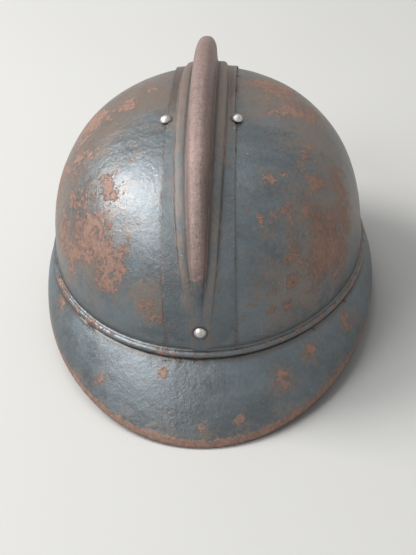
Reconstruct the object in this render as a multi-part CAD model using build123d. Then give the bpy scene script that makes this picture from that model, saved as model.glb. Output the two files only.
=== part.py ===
from build123d import *
import math
import os

# A crested steel field helmet of four pressings: a bowl, a front visor, a rear neck guard and a crest.
# The bowl is centred on the Z axis, the table is at Z zero and the neck guard is on the +Y side.

# Bowl: a deep-drawn pressing, oval in plan, whose lower edge runs out into a rounded bead
bowl_sheet = 0.9
bowl_half_width = 95.5
bowl_half_length = 113.0
bowl_height = 98.0
crown_power = 2.8
wall_power = 2.4
seam_height = 39.0
bead_radius = 2.1
bead_neck = 1.2
vent_length = 46.0
vent_width = 7.0
vent_spacing = 62.0

# Brim: visor and neck guard, each hooked up inside the bowl and rolled over at the rim
brim_sheet = 0.9
brim_side_reach = 8.0
guard_reach = 35.0
visor_reach = 32.0
rim_roll_radius = 1.8
rim_side_rise = 13.7
rest_flat = 0.35
upstand_height = 7.0
lip_tuck = 0.8
joint_gap = 0.3
tongue_length = 12.0
tongue_root = 9.0
tongue_edge_margin = 3.0
brim_bulge_share = 0.06

# Crest: one pressing with a flat flange, a raised bed and a tall rounded comb
crest_sheet = 0.8
crest_seat_gap = 0.35
crest_rear_gap = 5.8
crest_front_gap = 49.0
flange_half_width = 25.0
flange_round = 19.0
bed_half_width = 15.0
bed_rise = 2.4
bed_slope = 1.0
bed_crown = 0.5
comb_half_width = 6.8
comb_foot = 0.6
comb_height = 17.6
comb_low_share = 0.28
comb_high_share = 0.74
comb_shoulder_share = 0.86
vent_lift = 2.2

# Rivets through the crest and the bowl
rivet_head_radius = 3.5
rivet_head_height = 2.3
head_seat_gap = 0.4
rivet_shank_radius = 1.5
rivet_tail_radius = 2.8
rivet_tail_height = 0.8
rear_rivet_distance = 17.5
front_rivet_distance = 57.5
side_rivet_share = 0.516
side_rivet_offset = 20.6

# Liner: felt band on four corrugated spacers and four clips, and a leather cap in it
spacer_sheet = 0.5
spacer_height = 16.0
spacer_wave_length = 15.0
spacer_waves = 4
band_gap = 12.5
band_thickness = 2.0
band_height = 30.0
band_rise = 3.0
leather_thickness = 1.4
leather_band_height = 36.0
cap_bend_radius = 32.0
cap_slope = 12.0
cap_opening_radius = 21.0
tongue_slot_width = 7.0
tongue_slot_reach = 24.0
tongue_count = 7
clip_width = 7.0
clip_sheet = 1.0
clip_height = 12.0
clip_drop = 9.0
clip_direction = 45.0

# Chin strap and its two wire bails
lug_sheet = 1.0
lug_width = 14.0
lug_height = 9.0
knuckle_radius = 2.5
knuckle_length = 9.0
bail_wire_radius = 1.2
bail_top_width = 17.0
bail_bottom_width = 24.0
bail_height = 15.0
bail_corner = 2.6
strap_width = 15.0
strap_thickness = 1.8
strap_eye_radius = 3.4
strap_low = 8.0
strap_flat_half = 42.0
buckle_wire = 2.0
buckle_length = 17.0
buckle_play = 0.4

# Badge: a stamped plate in the shape of a flaming shell, held by two prongs folded inside
badge_sheet = 0.7
badge_ball_radius = 9.5
badge_ball_bulge = 3.0
badge_flame_height = 19.5
badge_flame_half_width = 11.5
badge_centre_rise = 16.0
badge_prong_width = 4.5
badge_leaf_height = 6.0

# Clearances and overruns
seam_clearance = 0.1
fit_clearance = 0.15
overrun = 6.0
far = 400.0

bowl_squeeze_share = bowl_half_width / bowl_half_length
bowl_centre_y = (visor_reach - guard_reach) / 2
brim_half_width = bowl_half_width + brim_side_reach
bead_reach = bead_neck + bead_radius
flare_height = 2 * bead_radius + bead_neck


def bowl_profile(grow, rise):
    """Points of the bowl's long profile, grown outwards, from the crown down to a rise above the seam."""
    length = bowl_half_length + grow
    height = bowl_height + grow
    low = math.asin((rise / height) ** (crown_power / 2))
    steps = 12
    points = []
    for step in range(steps + 1):
        angle = math.pi / 2 + (low - math.pi / 2) * step / steps
        radius = length * math.cos(angle) ** (2 / wall_power) if step else 0
        level = seam_height + height * math.sin(angle) ** (2 / crown_power)
        points.append((radius, level))
    return points


def squeeze(shape):
    """A round bowl becomes oval: narrower from side to side."""
    return scale(shape, by=(bowl_squeeze_share, 1, 1))


def oval_block(grow, rise=0.0):
    """The solid inside the bowl's surface grown by a distance, down to a rise above the seam."""
    points = bowl_profile(grow, rise)
    top, foot = points[0], points[-1]
    edges = [
        Spline(*points, tangents=((1, 0), (0, -1))),
        Line(foot, (0, foot[1])),
        Line((0, foot[1]), top),
    ]
    face = make_face(Plane.XZ * Wire(edges))
    return squeeze(revolve(face, axis=Axis.Z))


def bowl_level(x, y, z):
    """Zero on the bowl's outside, negative within."""
    plan = math.hypot(x / bowl_half_width, y / bowl_half_length)
    rise = max((z - seam_height) / bowl_height, 0)
    return plan**wall_power + rise**crown_power - 1


def bowl_normal(x, y, z):
    """The outward direction at a point of the bowl's outside."""
    plan = math.hypot(x / bowl_half_width, y / bowl_half_length)
    rise = max((z - seam_height) / bowl_height, 0)
    steepness = wall_power * plan ** (wall_power - 2)
    return Vector(
        steepness * x / bowl_half_width**2,
        steepness * y / bowl_half_length**2,
        crown_power * rise ** (crown_power - 1) / bowl_height,
    ).normalized()


def crown_table():
    """The bowl's centre line from the rear seam over the crown to the front seam, with distances."""
    steps = 720
    rows = []
    travelled = 0
    for step in range(steps + 1):
        angle = math.pi * step / steps
        side = math.copysign(1, math.cos(angle))
        y = bowl_half_length * side * abs(math.cos(angle)) ** (2 / wall_power)
        z = seam_height + bowl_height * abs(math.sin(angle)) ** (2 / crown_power)
        if rows:
            travelled += math.hypot(y - rows[-1][1], z - rows[-1][2])
        rows.append((travelled, y, z))
    return rows


crown_line = crown_table()
crown_length = crown_line[-1][0]


def crown_plane(distance):
    """A plane across the crown line at a distance from the rear seam: x to the side, y outwards."""
    for before, after in zip(crown_line, crown_line[1:]):
        if after[0] >= distance:
            share = (distance - before[0]) / (after[0] - before[0])
            y = before[1] + share * (after[1] - before[1])
            z = before[2] + share * (after[2] - before[2])
            normal = bowl_normal(0, y, z)
            along = Vector(1, 0, 0).cross(normal)
            return Plane(origin=(0, y, z), x_dir=(1, 0, 0), z_dir=along)


def surface_drop(plane, side):
    """How far the bowl's outside lies from the plane's x axis, measured along its y axis."""
    low, high = -bowl_height / 2, bowl_sheet
    for _ in range(50):
        middle = (low + high) / 2
        point = plane.from_local_coords((side, middle, 0))
        if bowl_level(point.X, point.Y, point.Z) > 0:
            high = middle
        else:
            low = middle
    return (low + high) / 2


def surface_seat(distance, side):
    """A plane on the bowl's outside, its z axis straight out of the steel."""
    plane = crown_plane(distance)
    point = plane.from_local_coords((side, surface_drop(plane, side), 0))
    return Plane(origin=point, z_dir=bowl_normal(point.X, point.Y, point.Z))


crest_length = crown_length - crest_rear_gap - crest_front_gap
side_rivet_distance = crest_rear_gap + side_rivet_share * crest_length
rivet_places = {
    "crest_rivet_rear": (rear_rivet_distance, 0),
    "crest_rivet_front": (crown_length - front_rivet_distance, 0),
    "crest_rivet_left": (side_rivet_distance, side_rivet_offset),
    "crest_rivet_right": (side_rivet_distance, -side_rivet_offset),
}


def rivet_holes():
    """Clear holes for the four crest rivets."""
    tool = Cylinder(rivet_shank_radius + seam_clearance, 2 * overrun)
    return [surface_seat(*place).location * tool for place in rivet_places.values()]


def crest_rivet(place):
    """A domed head on the flange, a shank through both sheets and a flat tail inside the bowl."""
    seat = surface_seat(*place)
    underside = crest_seat_gap + crest_sheet + head_seat_gap
    tail_top = -bowl_sheet - seam_clearance
    tail_foot = tail_top - rivet_tail_height
    dome = (rivet_head_radius**2 + rivet_head_height**2) / (2 * rivet_head_height)
    top = underside + rivet_head_height
    half = math.asin(rivet_head_radius / dome) / 2
    shoulder = (dome * math.sin(half), top - dome + dome * math.cos(half))
    edges = [
        Line((0, tail_foot), (rivet_tail_radius, tail_foot)),
        Line((rivet_tail_radius, tail_foot), (rivet_tail_radius, tail_top)),
        Line((rivet_tail_radius, tail_top), (rivet_shank_radius, tail_top)),
        Line((rivet_shank_radius, tail_top), (rivet_shank_radius, underside)),
        Line((rivet_shank_radius, underside), (rivet_head_radius, underside)),
        ThreePointArc((rivet_head_radius, underside), shoulder, (0, top)),
        Line((0, top), (0, tail_foot)),
    ]
    solid = revolve(make_face(Plane.XZ * Wire(edges)), axis=Axis.Z)
    return seat.location * solid


def bowl_reach(x, rise):
    """How far the bowl's outside lies from the XZ plane at a width and a rise above the seam."""
    plan = (1 - (rise / bowl_height) ** crown_power) ** (1 / wall_power)
    return bowl_half_length * math.sqrt(plan**2 - (x / bowl_half_width) ** 2)


def badge_prongs(grow):
    """The badge's two prongs through the front wall, grown for the slits they pass."""
    x = badge_ball_radius - badge_prong_width / 2
    outer = bowl_reach(0, badge_centre_rise) + badge_sheet
    inner = bowl_reach(badge_ball_radius, badge_centre_rise + badge_leaf_height)
    inner -= bowl_sheet + seam_clearance + badge_sheet
    depth = outer - inner + 2 * grow
    middle = -(outer + inner) / 2
    level = seam_height + badge_centre_rise
    bar = Box(badge_prong_width + 2 * grow, depth, badge_sheet + 2 * grow)
    return [Pos(side * x, middle, level) * bar for side in (-1, 1)], x, inner, level


def make_bowl():
    """The bowl with its bead, rivet holes, badge slits and the two vents under the comb."""
    outside = bowl_profile(0, flare_height)
    inside = bowl_profile(-bowl_sheet, 0)
    bead_x = bowl_half_length + bead_neck
    bead_z = seam_height + bead_radius
    wall_foot = (bowl_half_length, seam_height + flare_height)
    bead_top = (bead_x, bead_z + bead_radius)
    bend = bead_neck * (1 - math.sqrt(0.5))
    bend_point = (bowl_half_length + bend, wall_foot[1] - bead_neck + bend)
    outside[-1] = wall_foot
    edges = [
        Spline(*outside, tangents=((1, 0), (0, -1))),
        ThreePointArc(wall_foot, bend_point, bead_top),
        ThreePointArc(bead_top, (bead_x + bead_radius, bead_z), (bead_x, seam_height)),
        Line((bead_x, seam_height), (inside[-1][0], seam_height)),
        Spline(*reversed(inside), tangents=((0, 1), (-1, 0))),
        Line(inside[0], outside[0]),
    ]
    shell = squeeze(revolve(make_face(Plane.XZ * Wire(edges)), axis=Axis.Z))
    vent = SlotOverall(vent_length, vent_width)
    for side in (-1, 1):
        place = Pos(0, side * vent_spacing / 2, seam_height + bowl_height / 2) * Rot(0, 0, 90)
        shell -= extrude(place * vent, bowl_height)
    return shell - (rivet_holes() + badge_prongs(seam_clearance)[0])


def brim_frame(angle, reach):
    """A plane square to the seam at an angle round it, with the distance out to the rim and its level."""
    half_length = bowl_half_length + reach
    cosine, sine = math.cos(angle), math.sin(angle)
    seam = Vector(bowl_half_width * cosine, bowl_half_length * sine, seam_height)
    out = Vector(cosine / bowl_half_width, sine / bowl_half_length, 0).normalized()
    square = (out.X / brim_half_width) ** 2 + (out.Y / half_length) ** 2
    slope = seam.X * out.X / brim_half_width**2 + seam.Y * out.Y / half_length**2
    rest = (seam.X / brim_half_width) ** 2 + (seam.Y / half_length) ** 2 - 1
    distance = (-slope + math.sqrt(slope**2 - square * rest)) / square
    rim_y = seam.Y + distance * out.Y
    level = rim_side_rise * (1 - (rim_y / half_length) ** 2) - rest_flat
    plane = Plane(origin=seam, x_dir=out, z_dir=out.cross(Vector(0, 0, 1)))
    return plane, distance, level


def brim_lines(distance, level):
    """The named corners of a brim section: the slope's start and end, its direction and the roll's centre."""
    start = Vector(bead_reach - lip_tuck, -seam_clearance)
    centre = Vector(distance - rim_roll_radius, level + rim_roll_radius - seam_height)
    along = (centre - start).normalized()
    above = Vector(-along.Y, along.X)
    return start, centre, along, above


def brim_section(angle, reach):
    """A brim section: upstand inside the bowl, flat under the bead, slope, and rolled rim."""
    plane, distance, level = brim_frame(angle, reach)
    start, centre, along, above = brim_lines(distance, level)
    wall = -(bowl_sheet + fit_clearance)
    back = wall - brim_sheet
    base = -seam_clearance - brim_sheet
    bulge = above * (brim_bulge_share * (centre - start).length)
    top_end = centre + above * rim_roll_radius
    inset = rim_roll_radius - brim_sheet
    bottom_end = centre + above * inset - along * math.sqrt(rim_roll_radius**2 - inset**2)
    bottom_start = start - Vector(0, brim_sheet)
    roll_far = centre + (along - above) * (rim_roll_radius * math.sqrt(0.5))
    edges = [
        Line((wall, upstand_height), (wall, -seam_clearance)),
        Line((wall, -seam_clearance), start),
        ThreePointArc(start, (start + top_end) / 2 + bulge, top_end),
        ThreePointArc(top_end, roll_far, bottom_end),
        ThreePointArc(bottom_end, (bottom_start + bottom_end) / 2 + bulge, bottom_start),
        Line(bottom_start, (back, base)),
        Line((back, base), (back, upstand_height)),
        Line((back, upstand_height), (wall, upstand_height)),
    ]
    return make_face(plane * Wire(edges))


def tongue_section(angle, reach, drop):
    """A section of the plain tongue that laps under the other brim piece at the side."""
    plane, distance, level = brim_frame(angle, reach)
    start, centre, along, above = brim_lines(distance, level)
    bulge = above * (brim_bulge_share * (centre - start).length)
    first = start + along * tongue_edge_margin - above * drop
    last = centre - along * tongue_edge_margin + above * (rim_roll_radius - drop)
    thick = above * brim_sheet
    edges = [
        ThreePointArc(first, (first + last) / 2 + bulge, last),
        Line(last, last - thick),
        ThreePointArc(last - thick, (first + last) / 2 + bulge - thick, first - thick),
        Line(first - thick, first),
    ]
    return make_face(plane * Wire(edges))


def make_brim(side, reach):
    """A half brim: side +1 is the neck guard and side -1 the visor."""
    gap = joint_gap / 2 / bowl_half_length
    stations = 17
    angles = [side * (gap + (math.pi - 2 * gap) * step / (stations - 1)) for step in range(stations)]
    body = loft([brim_section(angle, reach) for angle in angles])
    return body - Pos(0, 0, -far / 2) * Box(far, far, far)


def make_neck_guard():
    """The neck guard, with a tongue at each end that laps under the visor."""
    guard = make_brim(1, guard_reach)
    root = tongue_root / bowl_half_length
    tip = tongue_length / bowl_half_length
    free = brim_sheet + seam_clearance
    steps = ((root, brim_sheet / 2), (root / 3, free), (-tip / 2, free), (-tip, free))
    for mirrored in (False, True):
        sections = []
        for angle, drop in steps:
            reach = guard_reach if angle > 0 else visor_reach
            sections.append(tongue_section(math.pi - angle if mirrored else angle, reach, drop))
        guard += loft(sections)
    return guard


# Crest stations along its length, each with shares of the sizes named above
crest_stations_shares = (
    # along, flange, bed width, bed rise, comb width, comb height, vent lift
    (0.0, 0.80, 0.34, 0.02, 0.10, 0.00, 0.0),
    (0.055, 0.80, 0.40, 0.03, 0.13, 0.00, 0.0),
    (0.10, 0.80, 0.52, 0.20, 0.26, 0.03, 0.0),
    (0.18, 0.80, 0.72, 0.55, 0.62, 0.33, 0.0),
    (0.28, 0.87, 0.88, 0.85, 0.82, 0.64, 0.0),
    (0.39, 0.96, 0.97, 1.00, 0.97, 0.86, 0.0),
    (0.51, 1.00, 1.00, 1.00, 1.00, 0.98, 0.0),
    (0.57, 1.00, 1.00, 1.00, 1.00, 1.00, 0.6),
    (0.64, 0.97, 1.00, 1.00, 1.00, 1.00, 1.0),
    (0.73, 0.90, 0.94, 1.00, 0.98, 0.98, 0.9),
    (0.80, 0.84, 0.87, 0.92, 0.93, 0.92, 0.3),
    (0.86, 0.80, 0.78, 0.72, 0.80, 0.72, 0.0),
    (0.90, 0.78, 0.62, 0.42, 0.56, 0.40, 0.0),
    (0.93, 0.77, 0.48, 0.14, 0.30, 0.10, 0.0),
    (0.95, 0.76, 0.41, 0.04, 0.16, 0.01, 0.0),
    (0.965, 0.76, 0.38, 0.02, 0.12, 0.00, 0.0),
    (1.0, 0.76, 0.34, 0.02, 0.10, 0.00, 0.0),
)


def crest_contour(plane, shares, inset):
    """Right-hand corners of one side of the crest's sheet, then the points over its comb."""
    flange, bed, rise, comb, height, lift = shares
    cover = crest_seat_gap + crest_sheet - inset
    flange_x = flange * flange_half_width
    bed_x = bed * bed_half_width
    edge_x = bed_x - bed_slope * rise
    foot_x = comb * comb_half_width + comb_foot
    bed_top = cover + rise * bed_rise
    foot_y = surface_drop(plane, foot_x) + bed_top
    edge_y = surface_drop(plane, edge_x) + bed_top
    crown_x = (foot_x + edge_x) / 2
    crown_y = (foot_y + edge_y) / 2 + rise * bed_crown
    flange_middle_x = (flange_x + bed_x) / 2
    comb_x = comb * (comb_half_width - inset)
    tall = height * comb_height
    corners = [
        (flange_x, surface_drop(plane, flange_x) + cover + lift * vent_lift),
        (flange_middle_x, surface_drop(plane, flange_middle_x) + cover + lift * vent_lift / 2),
        (bed_x - inset * rise, surface_drop(plane, bed_x) + cover),
        (edge_x - inset * rise, edge_y),
        (crown_x, crown_y),
        (foot_x - inset * comb, foot_y),
    ]
    over_comb = [
        (comb_x, foot_y + tall * comb_low_share),
        (comb_x * comb_shoulder_share, foot_y + tall * comb_high_share),
        (0, bed_top + tall),
    ]
    return corners, over_comb


def crest_lines(corners, over_comb):
    """Edges across one side of the sheet, from its right edge over the comb to its left edge."""
    edge, middle, bed, step, crown, foot = corners
    turned = [(-x, y) for x, y in corners]
    comb = [foot] + over_comb + [(-x, y) for x, y in reversed(over_comb[:-1])] + [turned[-1]]
    return [
        Spline(edge, middle, bed),
        Line(bed, step),
        Spline(step, crown, foot),
        Spline(*comb),
        Spline(turned[5], turned[4], turned[3]),
        Line(turned[3], turned[2]),
        Spline(turned[2], turned[1], turned[0]),
    ]


def crest_section(row):
    """A section through the crest's sheet, square to the crown line."""
    plane = crown_plane(crest_rear_gap + row[0] * crest_length)
    top_corners, top_comb = crest_contour(plane, row[1:], 0)
    low_corners, low_comb = crest_contour(plane, row[1:], crest_sheet)
    left_top = (-top_corners[0][0], top_corners[0][1])
    left_low = (-low_corners[0][0], low_corners[0][1])
    edges = crest_lines(top_corners, top_comb) + crest_lines(low_corners, low_comb)
    edges += [Line(top_corners[0], low_corners[0]), Line(left_top, left_low)]
    return make_face(plane * Wire(edges))


def flange_end(distance, side):
    """The room past the flange's rounded end: side +1 is the rear end and side -1 the front end."""
    row = crest_stations_shares[0] if side > 0 else crest_stations_shares[-1]
    half_width = row[1] * flange_half_width + seam_clearance
    plane = crown_plane(distance)
    seat = Plane(origin=plane.origin, x_dir=(1, 0, 0), z_dir=plane.y_dir)
    beyond = Pos(0, side * flange_half_width) * Rectangle(4 * flange_half_width, 2 * flange_half_width)
    return extrude(seat * (beyond - Ellipse(half_width, flange_round)), amount=flange_half_width, both=True)


def make_crest():
    """The crest: one sheet lofted along the crown line, with rounded ends and its rivet holes."""
    crest = loft([crest_section(row) for row in crest_stations_shares])
    rear = flange_end(crest_rear_gap + flange_round, 1)
    front = flange_end(crown_length - crest_front_gap - flange_round, -1)
    return crest - ([rear, front] + rivet_holes())


# The right-hand half of the flame's outline as shares of its half width and its height
flame_outline_shares = ((0.70, 0.0), (1.0, 0.62), (0.62, 0.42), (0.52, 0.88), (0.24, 0.55), (0.0, 1.0))


def make_badge():
    """A thin plate bent to the bowl: a domed ball with a flame over it, and two folded prongs."""
    prongs, prong_x, inner, ball_z = badge_prongs(0)
    flame_foot = ball_z + badge_ball_radius / 2
    flame_size = badge_ball_radius / 2 + badge_flame_height
    right = [(badge_flame_half_width * x, flame_foot + flame_size * y) for x, y in flame_outline_shares]
    left = [(-x, y) for x, y in reversed(right[:-1])]
    flame = make_face(Plane.XZ * Polyline(*right, *left, close=True))
    disc = Plane.XZ * (Pos(0, ball_z) * Circle(badge_ball_radius))
    reach = 2 * bowl_half_length
    blank = extrude(flame + disc, amount=reach, dir=(0, -1, 0))
    face_gap = 2 * seam_clearance
    plate = blank & (oval_block(face_gap + badge_sheet) - oval_block(face_gap))
    leaf = Box(badge_prong_width, badge_sheet, badge_leaf_height)
    for side, prong in zip((-1, 1), prongs):
        leaf_place = Pos(side * prong_x, -inner - badge_sheet / 2, ball_z + badge_leaf_height / 2)
        plate += prong
        plate += leaf_place * leaf
    dome = (badge_ball_radius**2 + badge_ball_bulge**2) / (2 * badge_ball_bulge)
    middle = -bowl_reach(0, badge_centre_rise) - face_gap - badge_sheet / 2 + dome - badge_ball_bulge
    ball = Pos(0, middle, ball_z) * Sphere(dome)
    cap = ball & Pos(0, middle - dome, ball_z) * Box(2 * dome, 2 * badge_ball_bulge, 2 * dome)
    return plate + cap


def band_radii(inset):
    """Half width and half length of an oval inside the bowl at the seam."""
    return bowl_half_width - inset, bowl_half_length - inset


def oval_ring(inset, thickness, height):
    """An upright oval ring standing on the liner's lower edge."""
    ring = Ellipse(*band_radii(inset)) - Ellipse(*band_radii(inset + thickness))
    return extrude(Pos(0, 0, seam_height + band_rise) * ring, height)


def make_spacer(direction):
    """A corrugated metal strip between the bowl's wall and the felt band."""
    outer = bowl_sheet + fit_clearance + brim_sheet + spacer_sheet
    inner = band_gap - spacer_sheet
    middle = (outer + inner) / 2
    swing = (inner - outer) / 2 - fit_clearance
    half_width, half_length = band_radii(middle)
    local = math.hypot(half_width * math.sin(direction), half_length * math.cos(direction))
    span = spacer_waves * spacer_wave_length / local
    steps = 8 * spacer_waves
    faces = []
    for offset in (spacer_sheet / 2, -spacer_sheet / 2):
        points = []
        for step in range(steps + 1):
            angle = direction + span * (step / steps - 0.5)
            wave = swing * math.cos(2 * math.pi * spacer_waves * step / steps)
            steep = -2 * math.pi * swing / spacer_wave_length
            steep *= math.sin(2 * math.pi * spacer_waves * step / steps)
            out = Vector(math.cos(angle) / half_width, math.sin(angle) / half_length).normalized()
            side = Vector(-out.Y, out.X)
            normal = (out - side * steep).normalized()
            base = Vector(half_width * math.cos(angle), half_length * math.sin(angle))
            points.append(base + out * wave + normal * offset)
        faces.append(points)
    outer_line, inner_line = faces
    edges = [
        Spline(*outer_line),
        Line(outer_line[-1], inner_line[-1]),
        Spline(*reversed(inner_line)),
        Line(inner_line[0], outer_line[0]),
    ]
    level = seam_height + band_rise + (band_height - spacer_height) / 2
    return extrude(Pos(0, 0, level) * make_face(Wire(edges)), spacer_height)


def clip_places():
    """The four directions at which clips join the bowl and the liner."""
    corner = math.radians(clip_direction)
    return {
        "liner_clip_rear_left": corner,
        "liner_clip_rear_right": math.pi - corner,
        "liner_clip_front_right": math.pi + corner,
        "liner_clip_front_left": -corner,
    }


def clip_frame(direction):
    """A frame on the bowl's inner wall at the seam: x outwards, y along the wall, z up."""
    half_width, half_length = band_radii(0)
    seam = Vector(half_width * math.cos(direction), half_length * math.sin(direction), seam_height)
    out = Vector(math.cos(direction) / half_width, math.sin(direction) / half_length, 0).normalized()
    return Plane(origin=seam, x_dir=out, z_dir=(0, 0, 1))


def clip_bar(grow):
    """The clip's cross bar and folded end, grown for the slit it passes through."""
    wall = bowl_sheet + fit_clearance + brim_sheet + seam_clearance
    reach = band_gap + band_thickness + leather_thickness + 3 * fit_clearance + clip_sheet
    level = band_rise + clip_height
    width = clip_width + 2 * grow
    sheet = clip_sheet + 2 * grow
    bar = Pos(-(wall + reach) / 2, 0, level) * Box(reach - wall, width, sheet)
    return bar, wall, reach, level


def make_clip(direction):
    """A steel prong: foot on the wall, bar across the gap, end folded down over the leather."""
    bar, wall, reach, level = clip_bar(0)
    foot_height = level - upstand_height / 2
    foot = Pos(-wall - clip_sheet / 2, 0, level - foot_height / 2)
    fold = Pos(-reach + clip_sheet / 2, 0, level - clip_drop / 2)
    clip = bar + foot * Box(clip_sheet, clip_width, foot_height) + fold * Box(clip_sheet, clip_width, clip_drop)
    return clip_frame(direction).location * clip


def clip_slits():
    """Slits through the felt and the leather for the four clips."""
    slit = clip_bar(fit_clearance)[0]
    return [clip_frame(direction).location * slit for direction in clip_places().values()]


def make_felt_band():
    """The felt band round the head, with its four clip slits."""
    band = oval_ring(band_gap, band_thickness, band_height)
    for slit in clip_slits():
        band -= slit
    return band


leather_inset = band_gap + band_thickness + fit_clearance
liner_squeeze_share = (bowl_half_width - leather_inset) / (bowl_half_length - leather_inset)


def cap_corners(inset):
    """The cap's long profile: centre and radius of its bend, where the bend ends and the opening's edge."""
    length = bowl_half_length - leather_inset - inset
    level = seam_height + band_rise + leather_band_height
    bend = cap_bend_radius - inset
    centre = Vector(length - bend, level)
    turn = math.radians(90 - cap_slope)
    bend_end = centre + Vector(math.cos(turn), math.sin(turn)) * bend
    rise = (bend_end.X - cap_opening_radius) * math.tan(math.radians(cap_slope))
    top = Vector(cap_opening_radius, bend_end.Y + rise)
    return centre, bend, bend_end, top


def make_leather_cap():
    """The leather sweatband and its tongues, cut from one piece, with a slot between tongues."""
    floor = seam_height + band_rise
    half_turn = math.radians(90 - cap_slope) / 2
    edges = []
    ends = []
    for inset in (0, leather_thickness):
        centre, bend, bend_end, top = cap_corners(inset)
        foot = centre + Vector(bend, 0)
        middle = centre + Vector(math.cos(half_turn), math.sin(half_turn)) * bend
        edges += [Line((foot.X, floor), foot), ThreePointArc(foot, middle, bend_end), Line(bend_end, top)]
        ends.append((foot.X, top))
    (outer_x, outer_top), (inner_x, inner_top) = ends
    edges += [Line((outer_x, floor), (inner_x, floor)), Line(outer_top, inner_top)]
    cap = revolve(make_face(Plane.XZ * Wire(edges)), axis=Axis.Z)
    slot_start = cap_opening_radius / 2
    slot_end = bowl_half_length - leather_inset - tongue_slot_reach
    corners = (slot_start, -tongue_slot_width), (slot_start, tongue_slot_width), (slot_end, 0)
    wedge = extrude(Pos(0, 0, seam_height) * make_face(Polyline(*corners, close=True)), bowl_height)
    tools = [Rot(0, 0, 360 * step / tongue_count) * wedge for step in range(tongue_count)]
    cap = scale(cap - tools, by=(liner_squeeze_share, 1, 1))
    return cap - clip_slits()


def bail_axis():
    """The bail's hinge axis: its distance from the middle and its level."""
    half_width, half_length = band_radii(bowl_sheet + fit_clearance + brim_sheet)
    corner_x = half_width * math.sqrt(1 - (lug_width / 2 / half_length) ** 2)
    return corner_x - seam_clearance - lug_sheet - knuckle_radius, seam_height - knuckle_radius


def bail_frame():
    """Corners of the wire loop's centre line, in the plane across the bail's axis."""
    bottom = bail_height
    top_half = bail_top_width / 2 - bail_wire_radius
    low_half = bail_bottom_width / 2 - bail_wire_radius
    return (top_half, 0), (low_half, -bottom), (-low_half, -bottom), (-top_half, 0)


def make_lug(side):
    """A folded lug: a plate brazed inside the wall over the brim joint, and a knuckle for the bail."""
    axis_x, axis_z = bail_axis()
    plate_x = axis_x + knuckle_radius + lug_sheet / 2
    plate_low = axis_z
    plate_high = seam_height + lug_height - seam_clearance
    plate_middle = (plate_low + plate_high) / 2
    plate = Pos(plate_x, 0, plate_middle) * Box(lug_sheet, lug_width, plate_high - plate_low)
    neck = Pos(plate_x - lug_sheet, 0, axis_z + knuckle_radius / 2)
    lug = plate + neck * Box(3 * lug_sheet, knuckle_length, knuckle_radius)
    barrel = Pos(axis_x, 0, axis_z) * Rot(90, 0, 0)
    lug += barrel * Cylinder(knuckle_radius, knuckle_length)
    lug -= barrel * Cylinder(bail_wire_radius + fit_clearance, lug_width)
    return mirror(lug, Plane.YZ) if side < 0 else lug


def make_bail(side):
    """A four-sided wire loop that hangs from the lug and holds the strap."""
    axis_x, axis_z = bail_axis()
    corners = bail_frame()
    loop = FilletPolyline(*corners, radius=bail_corner, close=True)
    plane = Plane(origin=(axis_x, 0, axis_z), x_dir=(0, 1, 0), z_dir=(1, 0, 0))
    path = plane * loop
    start = path @ 0
    section = Plane(origin=start, z_dir=path % 0) * Circle(bail_wire_radius)
    bail = sweep(section, path=path)
    return mirror(bail, Plane.YZ) if side < 0 else bail


def strap_half_line():
    """The strap's centre line from its flat middle up to the eye round the bail's lower bar."""
    axis_x, axis_z = bail_axis()
    bar = (axis_x, axis_z - bail_height)
    low = strap_low + strap_thickness / 2
    return bar, low


def make_strap():
    """A leather strap with an eye round each bail, hanging in a shallow curve, flat in the middle."""
    (bar_x, bar_z), low = strap_half_line()
    eye = strap_eye_radius - strap_thickness
    middle_eye = (strap_eye_radius + eye) / 2
    start = (bar_x - middle_eye, bar_z)
    rise = Spline(start, (strap_flat_half, low), tangents=((-0.35, -1), (-1, 0)))
    upper = offset_line(rise, strap_thickness / 2)
    lower = offset_line(rise, -strap_thickness / 2)
    edges = [
        Spline(*upper, tangents=((-0.35, -1), (-1, 0))),
        Line(upper[-1], (0, low + strap_thickness / 2)),
        Line((0, low + strap_thickness / 2), (0, low - strap_thickness / 2)),
        Line((0, low - strap_thickness / 2), lower[-1]),
        Spline(*reversed(lower), tangents=((1, 0), (0.35, 1))),
        Line(lower[0], upper[0]),
    ]
    strap_face = make_face(Plane.XZ * Wire(edges))
    half = extrude(strap_face, amount=strap_width / 2, both=True)
    barrel = Pos(bar_x, 0, bar_z) * Rot(90, 0, 0)
    half += barrel * Cylinder(strap_eye_radius, strap_width)
    half -= barrel * Cylinder(eye, 2 * strap_width)
    return half + mirror(half, Plane.YZ)


def offset_line(edge, distance):
    """Points beside a plane curve at a distance, at even shares of its length."""
    steps = 6
    points = []
    for step in range(steps + 1):
        share = step / steps
        direction = edge % share
        side = Vector(direction.Y, -direction.X) * distance
        points.append(edge @ share + side)
    return points


def make_buckle():
    """A sliding frame of flat wire round the strap, with a middle bar under it."""
    low = strap_half_line()[1]
    inner_y = strap_width + 2 * buckle_play
    inner_z = strap_thickness + 2 * buckle_play
    outer = Box(buckle_length, inner_y + 2 * buckle_wire, inner_z + 2 * buckle_wire)
    frame = outer - Box(buckle_length + overrun, inner_y, inner_z)
    window_x = (buckle_length - 3 * buckle_wire) / 2
    for side in (-1, 1):
        x = side * (window_x + buckle_wire) / 2
        frame -= Pos(x, 0, 0) * Box(window_x, inner_y - buckle_wire, far)
    return Pos(0, 0, low) * frame


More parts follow.
